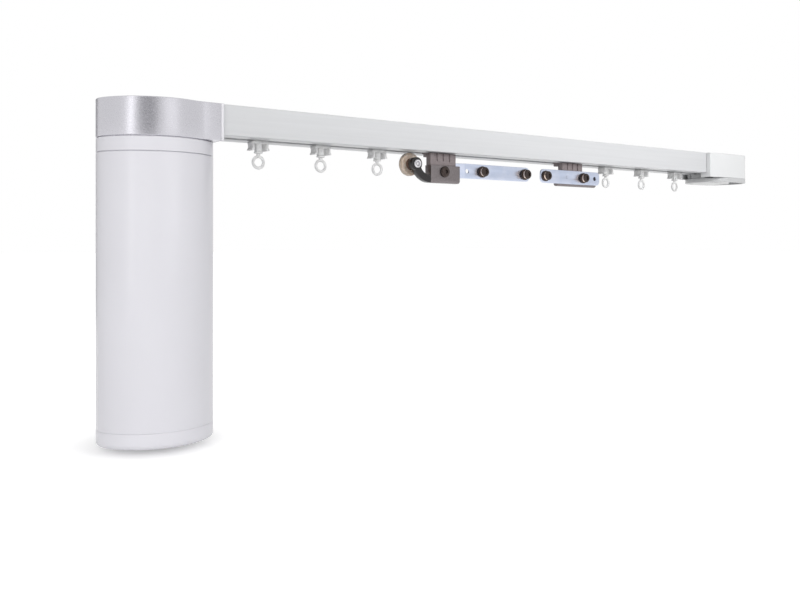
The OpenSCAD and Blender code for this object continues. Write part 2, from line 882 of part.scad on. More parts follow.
module drive_belt() {
    color([0.15, 0.15, 0.15])
        translate([0, 0, belt_low])
            linear_extrude(belt_w)
                difference() {
                    polygon(concat(belt_turn(drive_x, belt_out, 90), belt_turn(idler_x, belt_out, -90)));
                    polygon(concat(belt_turn(drive_x, belt_in, 90), belt_teeth(-1),
                        belt_turn(idler_x, belt_in, -90), belt_teeth(1)));
                }
}

// A toothed pulley with two flanges
module pulley(bore) {
    groove_r = 1.3;
    difference() {
        union() {
            difference() {
                translate([0, 0, pulley_low]) cylinder(r = pulley_r, h = pulley_top - pulley_low);
                for (i = [0 : pulley_teeth - 1])
                    rotate(360 * i / pulley_teeth)
                        translate([pulley_r, 0, pulley_low - eps])
                            cylinder(r = groove_r, h = far, $fn = 6);
            }
            translate([0, 0, pulley_low]) cylinder(r = flange_r, h = flange_t);
            translate([0, 0, pulley_top - flange_t]) cylinder(r = flange_r, h = flange_t);
        }
        translate([0, 0, -far / 2]) cylinder(r = bore, h = far);
    }
}

module drive_pulley() {
    color("dimgray") translate([drive_x, 0, 0]) pulley(shaft_r + run / 2);
}

module idler_pulley() {
    color("dimgray") translate([idler_x, 0, 0]) pulley(idler_axle_r + run);
}

// End housing and belt tensioner

module end_housing() {
    inner_low = end_low - eps;
    color("white")
        difference() {
            union() {
                difference() {
                    translate([end_x, 0, end_low]) linear_extrude(end_h) end_plan();
                    translate([end_x, 0, inner_low])
                        linear_extrude(end_h - housing_wall + eps) end_plan(housing_wall);
                }
                for (at = end_bosses)
                    translate([at[0], at[1], end_low])
                        cylinder(r = boss_r, h = end_h - housing_wall + eps);
            }
            rail_pocket(end_x - far / 2, far / 2 + rail_seat);
            translate([end_x - eps, -mouth_gap_half, inner_low])
                cube([housing_wall + 2 * eps, 2 * mouth_gap_half, end_h / 2]);
            for (at = end_bosses)
                translate([at[0], at[1], inner_low])
                    cylinder(r = screw_r + fit / 2, h = boss_depth);
        }
}

// Opening in the end base plate's front corner: all that lies outside a slanting line, less a rim
module service_plan() {
    reach = end_half + end_corner_rise;
    intersection() {
        end_plan(housing_wall, base_setback, nose_r);
        polygon([[service_from, -reach], [end_len, service_to], [end_len, -reach]]);
    }
}

module end_base() {
    color("lightgray")
        difference() {
            union() {
                translate([lug_x, -lug_half, end_low - eps])
                    cube([lug_t, 2 * lug_half, belt_mid + lug_half - end_low]);
                translate([end_x, 0, end_base_low])
                    linear_extrude(end_base_t) end_plan(0, base_setback, nose_r);
                translate([end_x + end_rest_from, -end_rest_half, end_low - eps])
                    cube([rail_seat - end_rest_from, 2 * end_rest_half, rail_low - end_low + eps]);
            }
            translate([lug_x + lug_t, -access_w / 2, end_base_low - eps])
                cube([access_len, access_w, end_base_t + 1]);
            translate([end_x, 0, end_base_low - eps])
                linear_extrude(end_base_t + 2 * eps) service_plan();
            translate([lug_x - eps, 0, belt_mid])
                rotate([0, 90, 0]) cylinder(r = tension_r + fit, h = lug_t + 2 * eps);
            for (at = end_bosses)
                translate([at[0], at[1], end_base_low - eps]) {
                    cylinder(r = screw_r + fit, h = far);
                    cylinder(r = screw_head_r + fit, h = screw_head_t + 1);
                }
        }
}

module end_screws() {
    color("darkgray")
        for (at = end_bosses)
            translate([at[0], at[1], end_base_low + 1 - eps])
                screw_up(end_base_t + boss_depth - 4, screw_r, screw_head_r, screw_head_t);
}

module tension_block() {
    fork_top = pulley_top + clear + fork_t;
    fork_low = pulley_low - clear;
    color("gray")
        difference() {
            union() {
                translate([fork_back_x, -fork_w / 2, end_low])
                    cube([fork_back_len, fork_w, fork_top - end_low]);
                translate([idler_x - idler_axle_r - 3, -fork_w / 2, end_low])
                    cube([fork_back_x - idler_x + idler_axle_r + 3 + eps, fork_w, fork_low - end_low]);
                translate([idler_x - idler_axle_r - 3, -fork_w / 2, fork_top - fork_t])
                    cube([fork_back_x - idler_x + idler_axle_r + 3 + eps, fork_w, fork_t]);
            }
            translate([idler_x, 0, -far / 2]) cylinder(r = idler_axle_r + run / 2, h = far);
            translate([fork_back_x - eps, 0, belt_mid])
                rotate([0, 90, 0]) cylinder(r = tension_r + run / 2, h = far);
        }
}

module tension_screw() {
    shank = lug_x + lug_t - fork_back_x;
    color("silver")
        translate([fork_back_x, 0, belt_mid])
            rotate([0, 90, 0]) {
                cylinder(r = tension_r, h = shank + eps);
                translate([0, 0, shank]) cylinder(r = tension_r + 2, h = tension_head_t, $fn = 6);
            }
}

module idler_axle() {
    axle_low = end_low + eps;
    color("silver")
        translate([idler_x, 0, axle_low]) {
            cylinder(r = idler_axle_r, h = pulley_top + clear + fork_t - axle_low);
            translate([0, 0, pulley_top + clear + fork_t - axle_low])
                cylinder(r = idler_axle_r + 1.2, h = 1);
        }
}

// Master carriers

// Ribbed plate behind the arm, with a flange to the neck and the shoe that run in the rail
module carrier_block(x) {
    rib_pitch = block_len / rib_count;
    from = x - block_len / 2;
    difference() {
        union() {
            translate([x - shoe_len / 2, -shoe_half, shoe_low])
                cube([shoe_len, 2 * shoe_half, belt_top - shoe_low]);
            translate([x - shoe_len / 2, -slot_half, block_top - eps])
                cube([shoe_len, 2 * slot_half, shoe_low - block_top + 2 * eps]);
            translate([from + flange_inset, -block_front + block_t / 2, block_top - flange_h])
                cube([block_len - 2 * flange_inset, block_front - block_t / 2 + slot_half, flange_h]);
            translate([from, -block_front, block_low]) cube([block_len, block_t, block_h]);
        }
        for (i = [1 : rib_count - 1])
            translate([from + i * rib_pitch - rib_w / 2, -block_front - eps, block_low + rib_foot])
                cube([rib_w, rib_depth + eps, block_h]);
    }
}

module left_carrier_block() {
    color([0.27, 0.24, 0.24]) carrier_block(left_block_x);
}

module right_carrier_block() {
    color([0.27, 0.24, 0.24]) carrier_block(right_block_x);
}

// Open trough that grips one run of the belt and sits against the carrier's shoe
module belt_clamp(x, side) {
    trough_low = belt_low - clear;
    color("black")
        mirror([0, side < 0 ? 1 : 0, 0])
            difference() {
                translate([x - clamp_len / 2, shoe_half, trough_low - clamp_wall])
                    cube([clamp_len, clamp_out + clamp_wall - shoe_half, belt_top - trough_low + clamp_wall]);
                translate([x - far / 2, clamp_in, trough_low]) cube([far, clamp_out - clamp_in, far]);
            }
}

module left_belt_clamp() { belt_clamp(left_block_x, -1); }
module right_belt_clamp() { belt_clamp(right_block_x, 1); }

// Strip of an arm seen from the front: straight, with round ends
module strip_face(from, to, round_from) {
    corner = arm_h / 3;
    translate([0, arm_mid])
        difference() {
            translate([from, -arm_h / 2]) square([to - from, arm_h]);
            for (side = [-1, 1]) {
                translate([to, side * arm_h / 2]) corner_waste(corner, side, -1);
                if (round_from) translate([from, side * arm_h / 2]) corner_waste(corner, side, 1);
            }
        }
}

module along_y(x, z, r, from, to) {
    translate([x, from, z]) rotate([-90, 0, 0]) cylinder(r = r, h = to - from);
}

module left_bracket() {
    length = left_bracket_end - left_bracket_start;
    color([0.2, 0.18, 0.19])
        difference() {
            translate([left_bracket_start, 0, 0])
                rounded_bar(length, roller_arm_front, -block_back, bracket_low, block_low, bracket_corner);
            translate([left_bracket_start + bracket_wall, -tail_front - pocket, arm_mid - arm_h / 2 - pocket])
                cube([far, arm_t + 2 * pocket, far]);
            along_y(left_screw_x, left_screw_z, arm_screw_r + pocket, -far, 0);
        }
}

// Plated strip that steps forward out of the bracket and carries the snap studs
module left_arm() {
    step_from = left_bracket_end + jog_gap;
    step_to = step_from + jog_len;
    tail_from = left_bracket_start + bracket_wall + pocket;
    color([0.76, 0.79, 0.87])
        difference() {
            intersection() {
                translate([0, 0, -far / 2])
                    linear_extrude(far)
                        polygon([
                            [tail_from, -tail_front], [step_from, -tail_front],
                            [step_to, -arm_front], [left_arm_end, -arm_front],
                            [left_arm_end, -arm_back], [step_to, -arm_back],
                            [step_from, -tail_back], [tail_from, -tail_back]
                        ]);
                rotate([90, 0, 0])
                    translate([0, 0, -far / 2])
                        linear_extrude(far) strip_face(tail_from, left_arm_end, false);
            }
            for (x = left_studs_at) along_y(x, arm_mid, stud_shank_r + fit / 2, -far, 0);
            along_y(left_hole_x, arm_mid, arm_hole_r, -far, 0);
            along_y(left_screw_x, left_screw_z, arm_screw_r + pocket, -far, 0);
            translate([tail_from - eps, -far / 2, block_low - fit])
                cube([left_block_end + clear - tail_from, far, far]);
        }
}

// Domed screw; its head rests on the bracket's front and its shank points to the back
module left_arm_screw() {
    dome = arm_screw_head_t - arm_screw_rim;
    color([0.3, 0.27, 0.25])
        translate([left_screw_x, -roller_arm_front, left_screw_z])
            rotate([90, 0, 0]) {
                translate([0, 0, block_back - roller_arm_front + 1])
                    cylinder(r = arm_screw_r, h = roller_arm_front - block_back - 1 + eps);
                rotate_extrude()
                    polygon(concat([[0, 0], [arm_screw_head_r, 0]], [for (a = [0 : 15 : 90])
                        [arm_screw_head_r * cos(a), arm_screw_rim + dome * sin(a)]]));
            }
}

// Snap stud: base, bright waist and rounded head, riveted through the strip
module snap_stud(x) {
    waist_r = stud_r - 1.2;
    translate([x, -arm_front, arm_mid])
        rotate([90, 0, 0])
            rotate_extrude()
                polygon([
                    [0, -arm_t - stud_back_t], [stud_back_r, -arm_t - stud_back_t],
                    [stud_back_r, -arm_t], [stud_shank_r, -arm_t], [stud_shank_r, 0],
                    [stud_r - 0.5, 0], [stud_r, 0.5], [stud_r, stud_base_t - 0.4],
                    [waist_r, stud_base_t], [waist_r, stud_base_t + stud_ring_t],
                    [stud_head_r, stud_base_t + stud_ring_t + 0.4],
                    [stud_head_r, stud_len - 1.1], [stud_head_r - 1.1, stud_len],
                    [stud_head_r - 2.2, stud_len], [stud_head_r - 2.6, stud_len - 1], [0, stud_len - 1]
                ]);
}

module left_snap_studs() {
    color([0.33, 0.3, 0.3]) for (x = left_studs_at) snap_stud(x);
}

module right_snap_studs() {
    color([0.33, 0.3, 0.3]) for (x = right_studs_at) snap_stud(x);
}

module right_arm() {
    color([0.76, 0.79, 0.87])
        difference() {
            translate([0, -arm_back, 0])
                rotate([90, 0, 0])
                    linear_extrude(arm_t) strip_face(right_arm_start, right_arm_end, true);
            for (x = right_studs_at) along_y(x, arm_mid, stud_shank_r + fit / 2, -far, 0);
            along_y(right_hole_x, arm_mid, arm_hole_r, -far, 0);
            along_y(right_screw_x, arm_mid, arm_screw_tip_r + fit / 2, -far, 0);
        }
}

// Bar behind the right arm; a pocket clears the back of the riveted stud
module right_bracket() {
    color([0.2, 0.18, 0.19])
        difference() {
            translate([right_bracket_start, 0, 0])
                rounded_bar(right_bracket_end - right_bracket_start, arm_back, -block_back,
                    right_bracket_low, block_low, bracket_corner);
            along_y(right_studs_at[1], arm_mid, stud_back_r + fit, -far, -arm_back + stud_back_t + fit);
            along_y(right_screw_x, arm_mid, arm_screw_r + fit, -far, far);
            along_y(right_hole_x, arm_mid, arm_hole_r, -far, far);
        }
}

module right_arm_screw() {
    color("darkgray")
        translate([right_screw_x, -block_back, arm_mid])
            rotate([90, 0, 0]) {
                translate([0, 0, -arm_screw_head_t]) cylinder(r = arm_screw_head_r, h = arm_screw_head_t);
                cylinder(r = arm_screw_r, h = arm_back - block_back);
                cylinder(r = arm_screw_tip_r, h = arm_front - block_back);
            }
}

// Anti-tilt roller

// Curved arm from the foot of the bracket up to the roller's pin
module roller_arm() {
    band_mid = [left_bracket_start, bracket_low + roller_arm_r];
    color([0.08, 0.08, 0.08])
        translate([0, -roller_arm_front + roller_arm_t, 0])
            rotate([90, 0, 0])
                linear_extrude(roller_arm_t)
                    difference() {
                        union() {
                            intersection() {
                                translate(band_mid)
                                    difference() {
                                        circle(r = roller_arm_r);
                                        circle(r = roller_arm_r - roller_arm_band);
                                    }
                                translate(band_mid - [far, far]) square(far);
                            }
                            translate([roller_x, roller_z]) circle(r = roller_arm_band - 0.5);
                        }
                        translate([roller_x, roller_z]) circle(r = roller_pin_r + run / 2);
                    }
}

module roller_pin() {
    back = -roller_front + roller_w;
    color("silver")
        translate([roller_x, 0, roller_z])
            rotate([-90, 0, 0]) {
                translate([0, 0, -roller_arm_front])
                    cylinder(r = roller_pin_r, h = roller_arm_front + back + clear);
                translate([0, 0, -roller_arm_front - pin_head_t]) cylinder(r = pin_head_r, h = pin_head_t);
                translate([0, 0, back + clear]) cylinder(r = pin_head_r, h = pin_head_t / 2);
            }
}

module roller_hub() {
    color([0.45, 0.33, 0.24])
        translate([roller_x, 0, roller_z])
            rotate([-90, 0, 0])
                difference() {
                    translate([0, 0, -roller_front - roller_hub_reach])
                        cylinder(r = roller_hub_r, h = roller_w + roller_hub_reach);
                    translate([0, 0, -far / 2]) cylinder(r = roller_pin_r + run, h = far);
                }
}

module roller_tyre() {
    crown = 1;
    color([0.85, 0.8, 0.72])
        translate([roller_x, 0, roller_z])
            rotate([-90, 0, 0])
                translate([0, 0, -roller_front])
                    rotate_extrude()
                        polygon([
                            [roller_hub_r + run / 2, 0], [roller_r - crown, 0], [roller_r, crown],
                            [roller_r, roller_w - crown], [roller_r - crown, roller_w],
                            [roller_hub_r + run / 2, roller_w]
                        ]);
}

// Gliders

// Nylon runner: a shoe inside the rail, a neck through the slot and a bridge below it
module glider(i) {
    half = glider_len / 2;
    leg_face = [
        [half - glider_leg_t, glider_top], [half - glider_leg_t, glider_leg_low],
        [half + glider_foot - 0.4, glider_leg_low], [half + glider_foot - 0.4, glider_leg_low + 0.8],
        [half - 0.4, glider_leg_low + 2.2], [half - 0.4, glider_top]
    ];
    color("white")
        translate([glider_x[i], 0, 0])
            difference() {
                union() {
                    translate([-half, -glider_shoe_half, shoe_low])
                        cube([glider_len, 2 * glider_shoe_half, glider_shoe_t]);
                    translate([-glider_neck_len / 2, -slot_half, glider_top - eps])
                        cube([glider_neck_len, 2 * slot_half, shoe_low - glider_top + 2 * eps]);
                    translate([-half, -glider_half, glider_top - glider_plate_t])
                        cube([glider_len, 2 * glider_half, glider_plate_t]);
                    for (way = [0, 1])
                        mirror([way, 0, 0])
                            translate([0, glider_half, 0])
                                rotate([90, 0, 0]) linear_extrude(2 * glider_half) polygon(leg_face);
                    translate([0, 0, glider_boss_low])
                        cylinder(r = glider_boss_r, h = glider_top - glider_boss_low);
                }
                translate([0, 0, glider_boss_low - eps]) cylinder(r = eye_stem_r + run, h = far);
                translate([0, 0, eye_seat]) cylinder(r = eye_head_r + clear, h = far);
            }
}

// Swivel eye: a headed stem that turns in the runner, a collar and a ring
module glider_eye(i) {
    color("white")
        translate([glider_x[i], 0, 0]) {
            translate([0, 0, eye_seat + run]) cylinder(r = eye_head_r, h = eye_head_t);
            translate([0, 0, eye_collar_top - eps])
                cylinder(r = eye_stem_r, h = eye_seat + run - eye_collar_top + 2 * eps);
            translate([0, 0, eye_collar_top - eye_collar_t]) cylinder(r = eye_collar_r, h = eye_collar_t);
            translate([0, 0, eye_mid + eye_r - eye_t / 2])
                cylinder(r = eye_neck_r, h = eye_collar_top - eye_mid - eye_r + eye_t / 2 - eps);
            translate([0, 0, eye_mid])
                rotate([90, 0, 0])
                    rotate_extrude() translate([eye_r - eye_t / 2, 0]) circle(r = eye_t / 2, $fn = 32);
        }
}

rail();
drive_housing();
mouth_trim();
drive_base();
drive_bush();
housing_screws();
motor_collar();
motor_case();
bottom_cap();
cap_screws();
gearbox_case();
motor_can();
stator_magnets();
motor_cradle();
circuit_board();
power_inlet();
drive_belt();
end_housing();
end_base();
end_screws();
tension_block();
tension_screw();
idler_axle();
left_carrier_block();
left_belt_clamp();
left_bracket();
left_arm();
left_arm_screw();
left_snap_studs();
roller_arm();
roller_pin();
roller_hub();
roller_tyre();
right_carrier_block();
right_belt_clamp();
right_bracket();
right_arm();
right_arm_screw();
right_snap_studs();
glider(0);  // glider_1
glider(1);  // glider_2
glider(2);  // glider_3
glider(3);  // glider_4
glider(4);  // glider_5
glider(5);  // glider_6
glider_eye(0);  // glider_eye_1
glider_eye(1);  // glider_eye_2
glider_eye(2);  // glider_eye_3
glider_eye(3);  // glider_eye_4
glider_eye(4);  // glider_eye_5
glider_eye(5);  // glider_eye_6
drive_pulley();
output_shaft();
motor_rotor();
sun_gear();
planet_gear(0);  // planet_gear_1
planet_gear(1);  // planet_gear_2
planet_gear(2);  // planet_gear_3
idler_pulley();
setting_button();
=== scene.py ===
import json
from math import asin, cos, pi, radians, sin

import bmesh
import bpy
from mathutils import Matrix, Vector


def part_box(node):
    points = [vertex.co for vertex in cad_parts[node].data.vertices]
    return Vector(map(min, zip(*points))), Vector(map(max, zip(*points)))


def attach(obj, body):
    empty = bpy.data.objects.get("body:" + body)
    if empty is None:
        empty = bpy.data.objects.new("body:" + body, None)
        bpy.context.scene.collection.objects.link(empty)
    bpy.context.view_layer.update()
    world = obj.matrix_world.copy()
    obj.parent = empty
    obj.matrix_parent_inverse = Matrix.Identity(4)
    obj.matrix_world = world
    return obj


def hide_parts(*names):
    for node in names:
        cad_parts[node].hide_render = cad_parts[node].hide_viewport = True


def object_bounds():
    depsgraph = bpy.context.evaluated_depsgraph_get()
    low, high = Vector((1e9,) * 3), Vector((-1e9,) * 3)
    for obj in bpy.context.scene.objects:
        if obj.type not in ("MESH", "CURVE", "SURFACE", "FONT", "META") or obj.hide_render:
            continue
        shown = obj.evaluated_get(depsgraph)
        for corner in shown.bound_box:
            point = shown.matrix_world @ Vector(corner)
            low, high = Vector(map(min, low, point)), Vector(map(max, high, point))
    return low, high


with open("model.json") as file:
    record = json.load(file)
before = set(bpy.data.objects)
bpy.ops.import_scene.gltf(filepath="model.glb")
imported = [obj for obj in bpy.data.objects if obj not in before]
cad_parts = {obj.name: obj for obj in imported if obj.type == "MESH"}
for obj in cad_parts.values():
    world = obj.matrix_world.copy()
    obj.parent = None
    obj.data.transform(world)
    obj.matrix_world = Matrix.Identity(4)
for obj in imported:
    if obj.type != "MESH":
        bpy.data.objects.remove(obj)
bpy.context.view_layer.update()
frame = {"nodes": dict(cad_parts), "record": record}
scene = bpy.context.scene
print("track loaded:", len(frame["nodes"]), "solids")


def mm(value):
    return value / 1000.0


def perMm(size):
    return 1000.0 / size  # pattern scale for a feature this many millimetres across


def linear(hexColour):
    parts = [int(hexColour[i:i + 2], 16) / 255.0 for i in (1, 3, 5)]
    return tuple(c / 12.92 if c <= 0.04045 else ((c + 0.055) / 1.055) ** 2.4 for c in parts) + (1.0,)


def addNode(tree, kind, settings=None, links=None):
    node = tree.nodes.new("ShaderNode" + kind)
    for key, value in (settings or {}).items():
        if key == "stops":  # the two ends of a colour ramp, as places and colours
            for element, (place, colour) in zip(node.color_ramp.elements, value):
                element.position, element.color = place, colour
        elif isinstance(key, int) or key in node.inputs:
            node.inputs[key].default_value = value
        else:
            setattr(node, key, value)
    for key, source in (links or {}).items():
        tree.links.new(source, node.inputs[key])
    return node


def newMaterial(name, look):
    material = bpy.data.materials.new(name)
    material.use_nodes = True
    shader = material.node_tree.nodes["Principled BSDF"]
    for socket, value in look.items():
        shader.inputs[socket].default_value = value
    return material, material.node_tree, shader


# camera, matched to the rail's and the housing's straight edges
photoView = {"place": (-546.4, -580.5, -95.6), "turn": -36.32, "lens": 38.25, "sensor": 36, "shift": -0.077}
camera = bpy.data.objects.new("camera", bpy.data.cameras.new("camera"))
scene.collection.objects.link(camera)
camera.location = [mm(v) for v in photoView["place"]]
camera.rotation_euler = (radians(90), 0, radians(photoView["turn"]))  # held level
camera.data.lens = photoView["lens"]
camera.data.sensor_width = photoView["sensor"]
camera.data.shift_y = photoView["shift"]
camera.data.clip_start = 0.01
scene.camera = camera
scene.view_settings.view_transform = "Standard"
print("camera set")


# materials

# White polyester powder coat on extruded aluminium: satin, with a faint orange peel
# and the die's long lines just showing through.
def makePowderCoat():
    coat = {"base": "#D9DADC", "deep": "#D6D7D9", "peel": 1.6, "dieLine": 2.5, "dieStretch": 0.02}
    material, tree, shader = newMaterial("powderCoatedAluminium", {"Roughness": 0.36, "IOR": 1.5})
    place = addNode(tree, "TexCoord")
    lines = addNode(tree, "Mapping", {"Scale": (coat["dieStretch"], 1.0, 1.0)}, {"Vector": place.outputs["Object"]})
    die = addNode(tree, "TexNoise", {"Scale": perMm(coat["dieLine"]), "Detail": 2.0}, {"Vector": lines.outputs[0]})
    tone = addNode(tree, "ValToRGB", {"stops": [(0.35, linear(coat["deep"])), (0.65, linear(coat["base"]))]},
                   {"Fac": die.outputs["Fac"]})
    peel = addNode(tree, "TexNoise", {"Scale": perMm(coat["peel"]), "Detail": 1.0},
                   {"Vector": place.outputs["Object"]})
    bump = addNode(tree, "Bump", {"Strength": 0.04, "Distance": mm(0.02)}, {"Height": peel.outputs["Fac"]})
    tree.links.new(tone.outputs["Color"], shader.inputs["Base Color"])
    tree.links.new(bump.outputs["Normal"], shader.inputs["Normal"])
    return material


# Silver metallic lacquer sprayed on a moulded cover: satin, with flake that glints
# as soft light and dark bands round the curve.
def makeSilverLacquer():
    lacquer = {"base": "#C9C8CE", "flakeDark": "#C6C5CB", "flake": 0.5}
    material, tree, shader = newMaterial("silverLacquer", {"Metallic": 0.92, "Roughness": 0.27})
    place = addNode(tree, "TexCoord")
    # real flake is near 0.05 mm; drawn ten times coarser so that it shows
    flake = addNode(tree, "TexVoronoi", {"Scale": perMm(lacquer["flake"])}, {"Vector": place.outputs["Object"]})
    tone = addNode(tree, "ValToRGB", {"stops": [(0.2, linear(lacquer["flakeDark"])), (0.8, linear(lacquer["base"]))]},
                   {"Fac": flake.outputs["Color"]})
    rough = addNode(tree, "MapRange", {"To Min": 0.27, "To Max": 0.285}, {"Value": flake.outputs["Color"]})
    bump = addNode(tree, "Bump", {"Strength": 0.01, "Distance": mm(0.005)}, {"Height": flake.outputs["Distance"]})
    tree.links.new(tone.outputs["Color"], shader.inputs["Base Color"])
    tree.links.new(rough.outputs["Result"], shader.inputs["Roughness"])
    tree.links.new(bump.outputs["Normal"], shader.inputs["Normal"])
    return material


# Moulded ABS with a fine spark-eroded grain: milky white, softly glossy, and a touch
# uneven where the wall cooled.
def makeWhiteAbs(name, base, deep):
    mould = {"grain": 0.7, "sink": 45.0}  # real grain is near 0.1 mm; drawn coarser so that it shows
    material, tree, shader = newMaterial(name, {"Roughness": 0.26, "IOR": 1.53, "Coat Weight": 0.12,
                                                "Coat Roughness": 0.12})
    place = addNode(tree, "TexCoord")
    sink = addNode(tree, "TexNoise", {"Scale": perMm(mould["sink"]), "Detail": 2.0},
                   {"Vector": place.outputs["Object"]})
    tone = addNode(tree, "ValToRGB", {"stops": [(0.3, linear(deep)), (0.7, linear(base))]},
                   {"Fac": sink.outputs["Fac"]})
    grain = addNode(tree, "TexNoise", {"Scale": perMm(mould["grain"]), "Detail": 3.0},
                    {"Vector": place.outputs["Object"]})
    rough = addNode(tree, "MapRange", {"To Min": 0.25, "To Max": 0.27}, {"Value": grain.outputs["Fac"]})
    bump = addNode(tree, "Bump", {"Strength": 0.01, "Distance": mm(0.002)}, {"Height": grain.outputs["Fac"]})
    tree.links.new(tone.outputs["Color"], shader.inputs["Base Color"])
    tree.links.new(rough.outputs["Result"], shader.inputs["Roughness"])
    tree.links.new(bump.outputs["Normal"], shader.inputs["Normal"])
    return material


# Unfilled nylon 6, injection moulded: waxy white that lets a little light through.
def makeNylon():
    nylon = {"base": "#E6E6E6", "deep": "#D6D6D6", "flow": 3.0}
    material, tree, shader = newMaterial("mouldedNylon", {
        "Roughness": 0.38, "IOR": 1.53, "Subsurface Weight": 0.12,
        "Subsurface Radius": (mm(1.0), mm(0.95), mm(0.9)), "Subsurface Scale": 1.0})
    place = addNode(tree, "TexCoord")
    flow = addNode(tree, "TexNoise", {"Scale": perMm(nylon["flow"]), "Detail": 3.0},
                   {"Vector": place.outputs["Object"]})
    tone = addNode(tree, "ValToRGB", {"stops": [(0.35, linear(nylon["deep"])), (0.6, linear(nylon["base"]))]},
                   {"Fac": flow.outputs["Fac"]})
    bump = addNode(tree, "Bump", {"Strength": 0.08, "Distance": mm(0.03)}, {"Height": flow.outputs["Fac"]})
    tree.links.new(tone.outputs["Color"], shader.inputs["Base Color"])
    tree.links.new(bump.outputs["Normal"], shader.inputs["Normal"])
    return material


# Glass-filled nylon, moulded in warm dark grey: short fibres leave a dull, streaky skin.
def makeFilledNylon():
    # real fibres are near 0.3 mm; drawn coarser so that they show
    filled = {"base": "#8A8081", "deep": "#776D6E", "fibre": 0.9, "stretch": 0.25}
    material, tree, shader = newMaterial("glassFilledNylon", {"Roughness": 0.5, "IOR": 1.55})
    place = addNode(tree, "TexCoord")
    lines = addNode(tree, "Mapping", {"Scale": (filled["stretch"], 1.0, 1.0)}, {"Vector": place.outputs["Object"]})
    fibre = addNode(tree, "TexNoise", {"Scale": perMm(filled["fibre"]), "Detail": 4.0, "Roughness": 0.7},
                    {"Vector": lines.outputs[0]})
    tone = addNode(tree, "ValToRGB", {"stops": [(0.3, linear(filled["deep"])), (0.7, linear(filled["base"]))]},
                   {"Fac": fibre.outputs["Fac"]})
    rough = addNode(tree, "MapRange", {"To Min": 0.42, "To Max": 0.6}, {"Value": fibre.outputs["Fac"]})
    bump = addNode(tree, "Bump", {"Strength": 0.15, "Distance": mm(0.04)}, {"Height": fibre.outputs["Fac"]})
    tree.links.new(tone.outputs["Color"], shader.inputs["Base Color"])
    tree.links.new(rough.outputs["Result"], shader.inputs["Roughness"])
    tree.links.new(bump.outputs["Normal"], shader.inputs["Normal"])
    return material


# Rolled steel strip with bright zinc plate and blue passivation: a cool, cloudy sheen
# with faint rolling lines along it.
def makeZincPlate():
    zinc = {"base": "#CAD0E1", "blue": "#BEC7DB", "cloud": 9.0, "rolling": 0.6, "stretch": 0.03}
    material, tree, shader = newMaterial("zincPlatedSteel", {"Metallic": 1.0, "Roughness": 0.3})
    place = addNode(tree, "TexCoord")
    cloud = addNode(tree, "TexNoise", {"Scale": perMm(zinc["cloud"]), "Detail": 3.0},
                    {"Vector": place.outputs["Object"]})
    tone = addNode(tree, "ValToRGB", {"stops": [(0.35, linear(zinc["blue"])), (0.65, linear(zinc["base"]))]},
                   {"Fac": cloud.outputs["Fac"]})
    lines = addNode(tree, "Mapping", {"Scale": (zinc["stretch"], 1.0, 1.0)}, {"Vector": place.outputs["Object"]})
    # real rolling lines are near 0.1 mm; drawn coarser so that they show
    roll = addNode(tree, "TexNoise", {"Scale": perMm(zinc["rolling"]), "Detail": 2.0}, {"Vector": lines.outputs[0]})
    rough = addNode(tree, "MapRange", {"To Min": 0.24, "To Max": 0.38}, {"Value": roll.outputs["Fac"]})
    bump = addNode(tree, "Bump", {"Strength": 0.06, "Distance": mm(0.02)}, {"Height": roll.outputs["Fac"]})
    tree.links.new(tone.outputs["Color"], shader.inputs["Base Color"])
    tree.links.new(rough.outputs["Result"], shader.inputs["Roughness"])
    tree.links.new(bump.outputs["Normal"], shader.inputs["Normal"])
    return material


# Turned, plated, sintered or die-cast metal: tool marks of this many millimetres, drawn
# as coarse as they need to show, break the highlight.
def makeMetal(name, base, deep, rough, mark, stretch=(1.0, 1.0, 1.0)):
    material, tree, shader = newMaterial(name, {"Metallic": 1.0, "Roughness": rough})
    place = addNode(tree, "TexCoord")
    lines = addNode(tree, "Mapping", {"Scale": stretch}, {"Vector": place.outputs["Object"]})
    marks = addNode(tree, "TexNoise", {"Scale": perMm(mark), "Detail": 3.0}, {"Vector": lines.outputs[0]})
    tone = addNode(tree, "ValToRGB", {"stops": [(0.3, linear(deep)), (0.7, linear(base))]},
                   {"Fac": marks.outputs["Fac"]})
    uneven = addNode(tree, "MapRange", {"To Min": rough * 0.75, "To Max": rough * 1.3},
                     {"Value": marks.outputs["Fac"]})
    bump = addNode(tree, "Bump", {"Strength": 0.06, "Distance": mm(0.02)}, {"Height": marks.outputs["Fac"]})
    tree.links.new(tone.outputs["Color"], shader.inputs["Base Color"])
    tree.links.new(uneven.outputs["Result"], shader.inputs["Roughness"])
    tree.links.new(bump.outputs["Normal"], shader.inputs["Normal"])
    return material


# Plain moulded plastic, rubber or ferrite: one colour under a mould grain of this many
# millimetres, drawn as coarse as it needs to show.
def makeMoulded(name, base, deep, rough, grain, ior):
    material, tree, shader = newMaterial(name, {"Roughness": rough, "IOR": ior})
    place = addNode(tree, "TexCoord")
    skin = addNode(tree, "TexNoise", {"Scale": perMm(grain), "Detail": 4.0}, {"Vector": place.outputs["Object"]})
    tone = addNode(tree, "ValToRGB", {"stops": [(0.3, linear(deep)), (0.7, linear(base))]},
                   {"Fac": skin.outputs["Fac"]})
    uneven = addNode(tree, "MapRange", {"To Min": rough * 0.85, "To Max": rough * 1.15},
                     {"Value": skin.outputs["Fac"]})
    bump = addNode(tree, "Bump", {"Strength": 0.1, "Distance": mm(0.03)}, {"Height": skin.outputs["Fac"]})
    tree.links.new(tone.outputs["Color"], shader.inputs["Base Color"])
    tree.links.new(uneven.outputs["Result"], shader.inputs["Roughness"])
    tree.links.new(bump.outputs["Normal"], shader.inputs["Normal"])
    return material


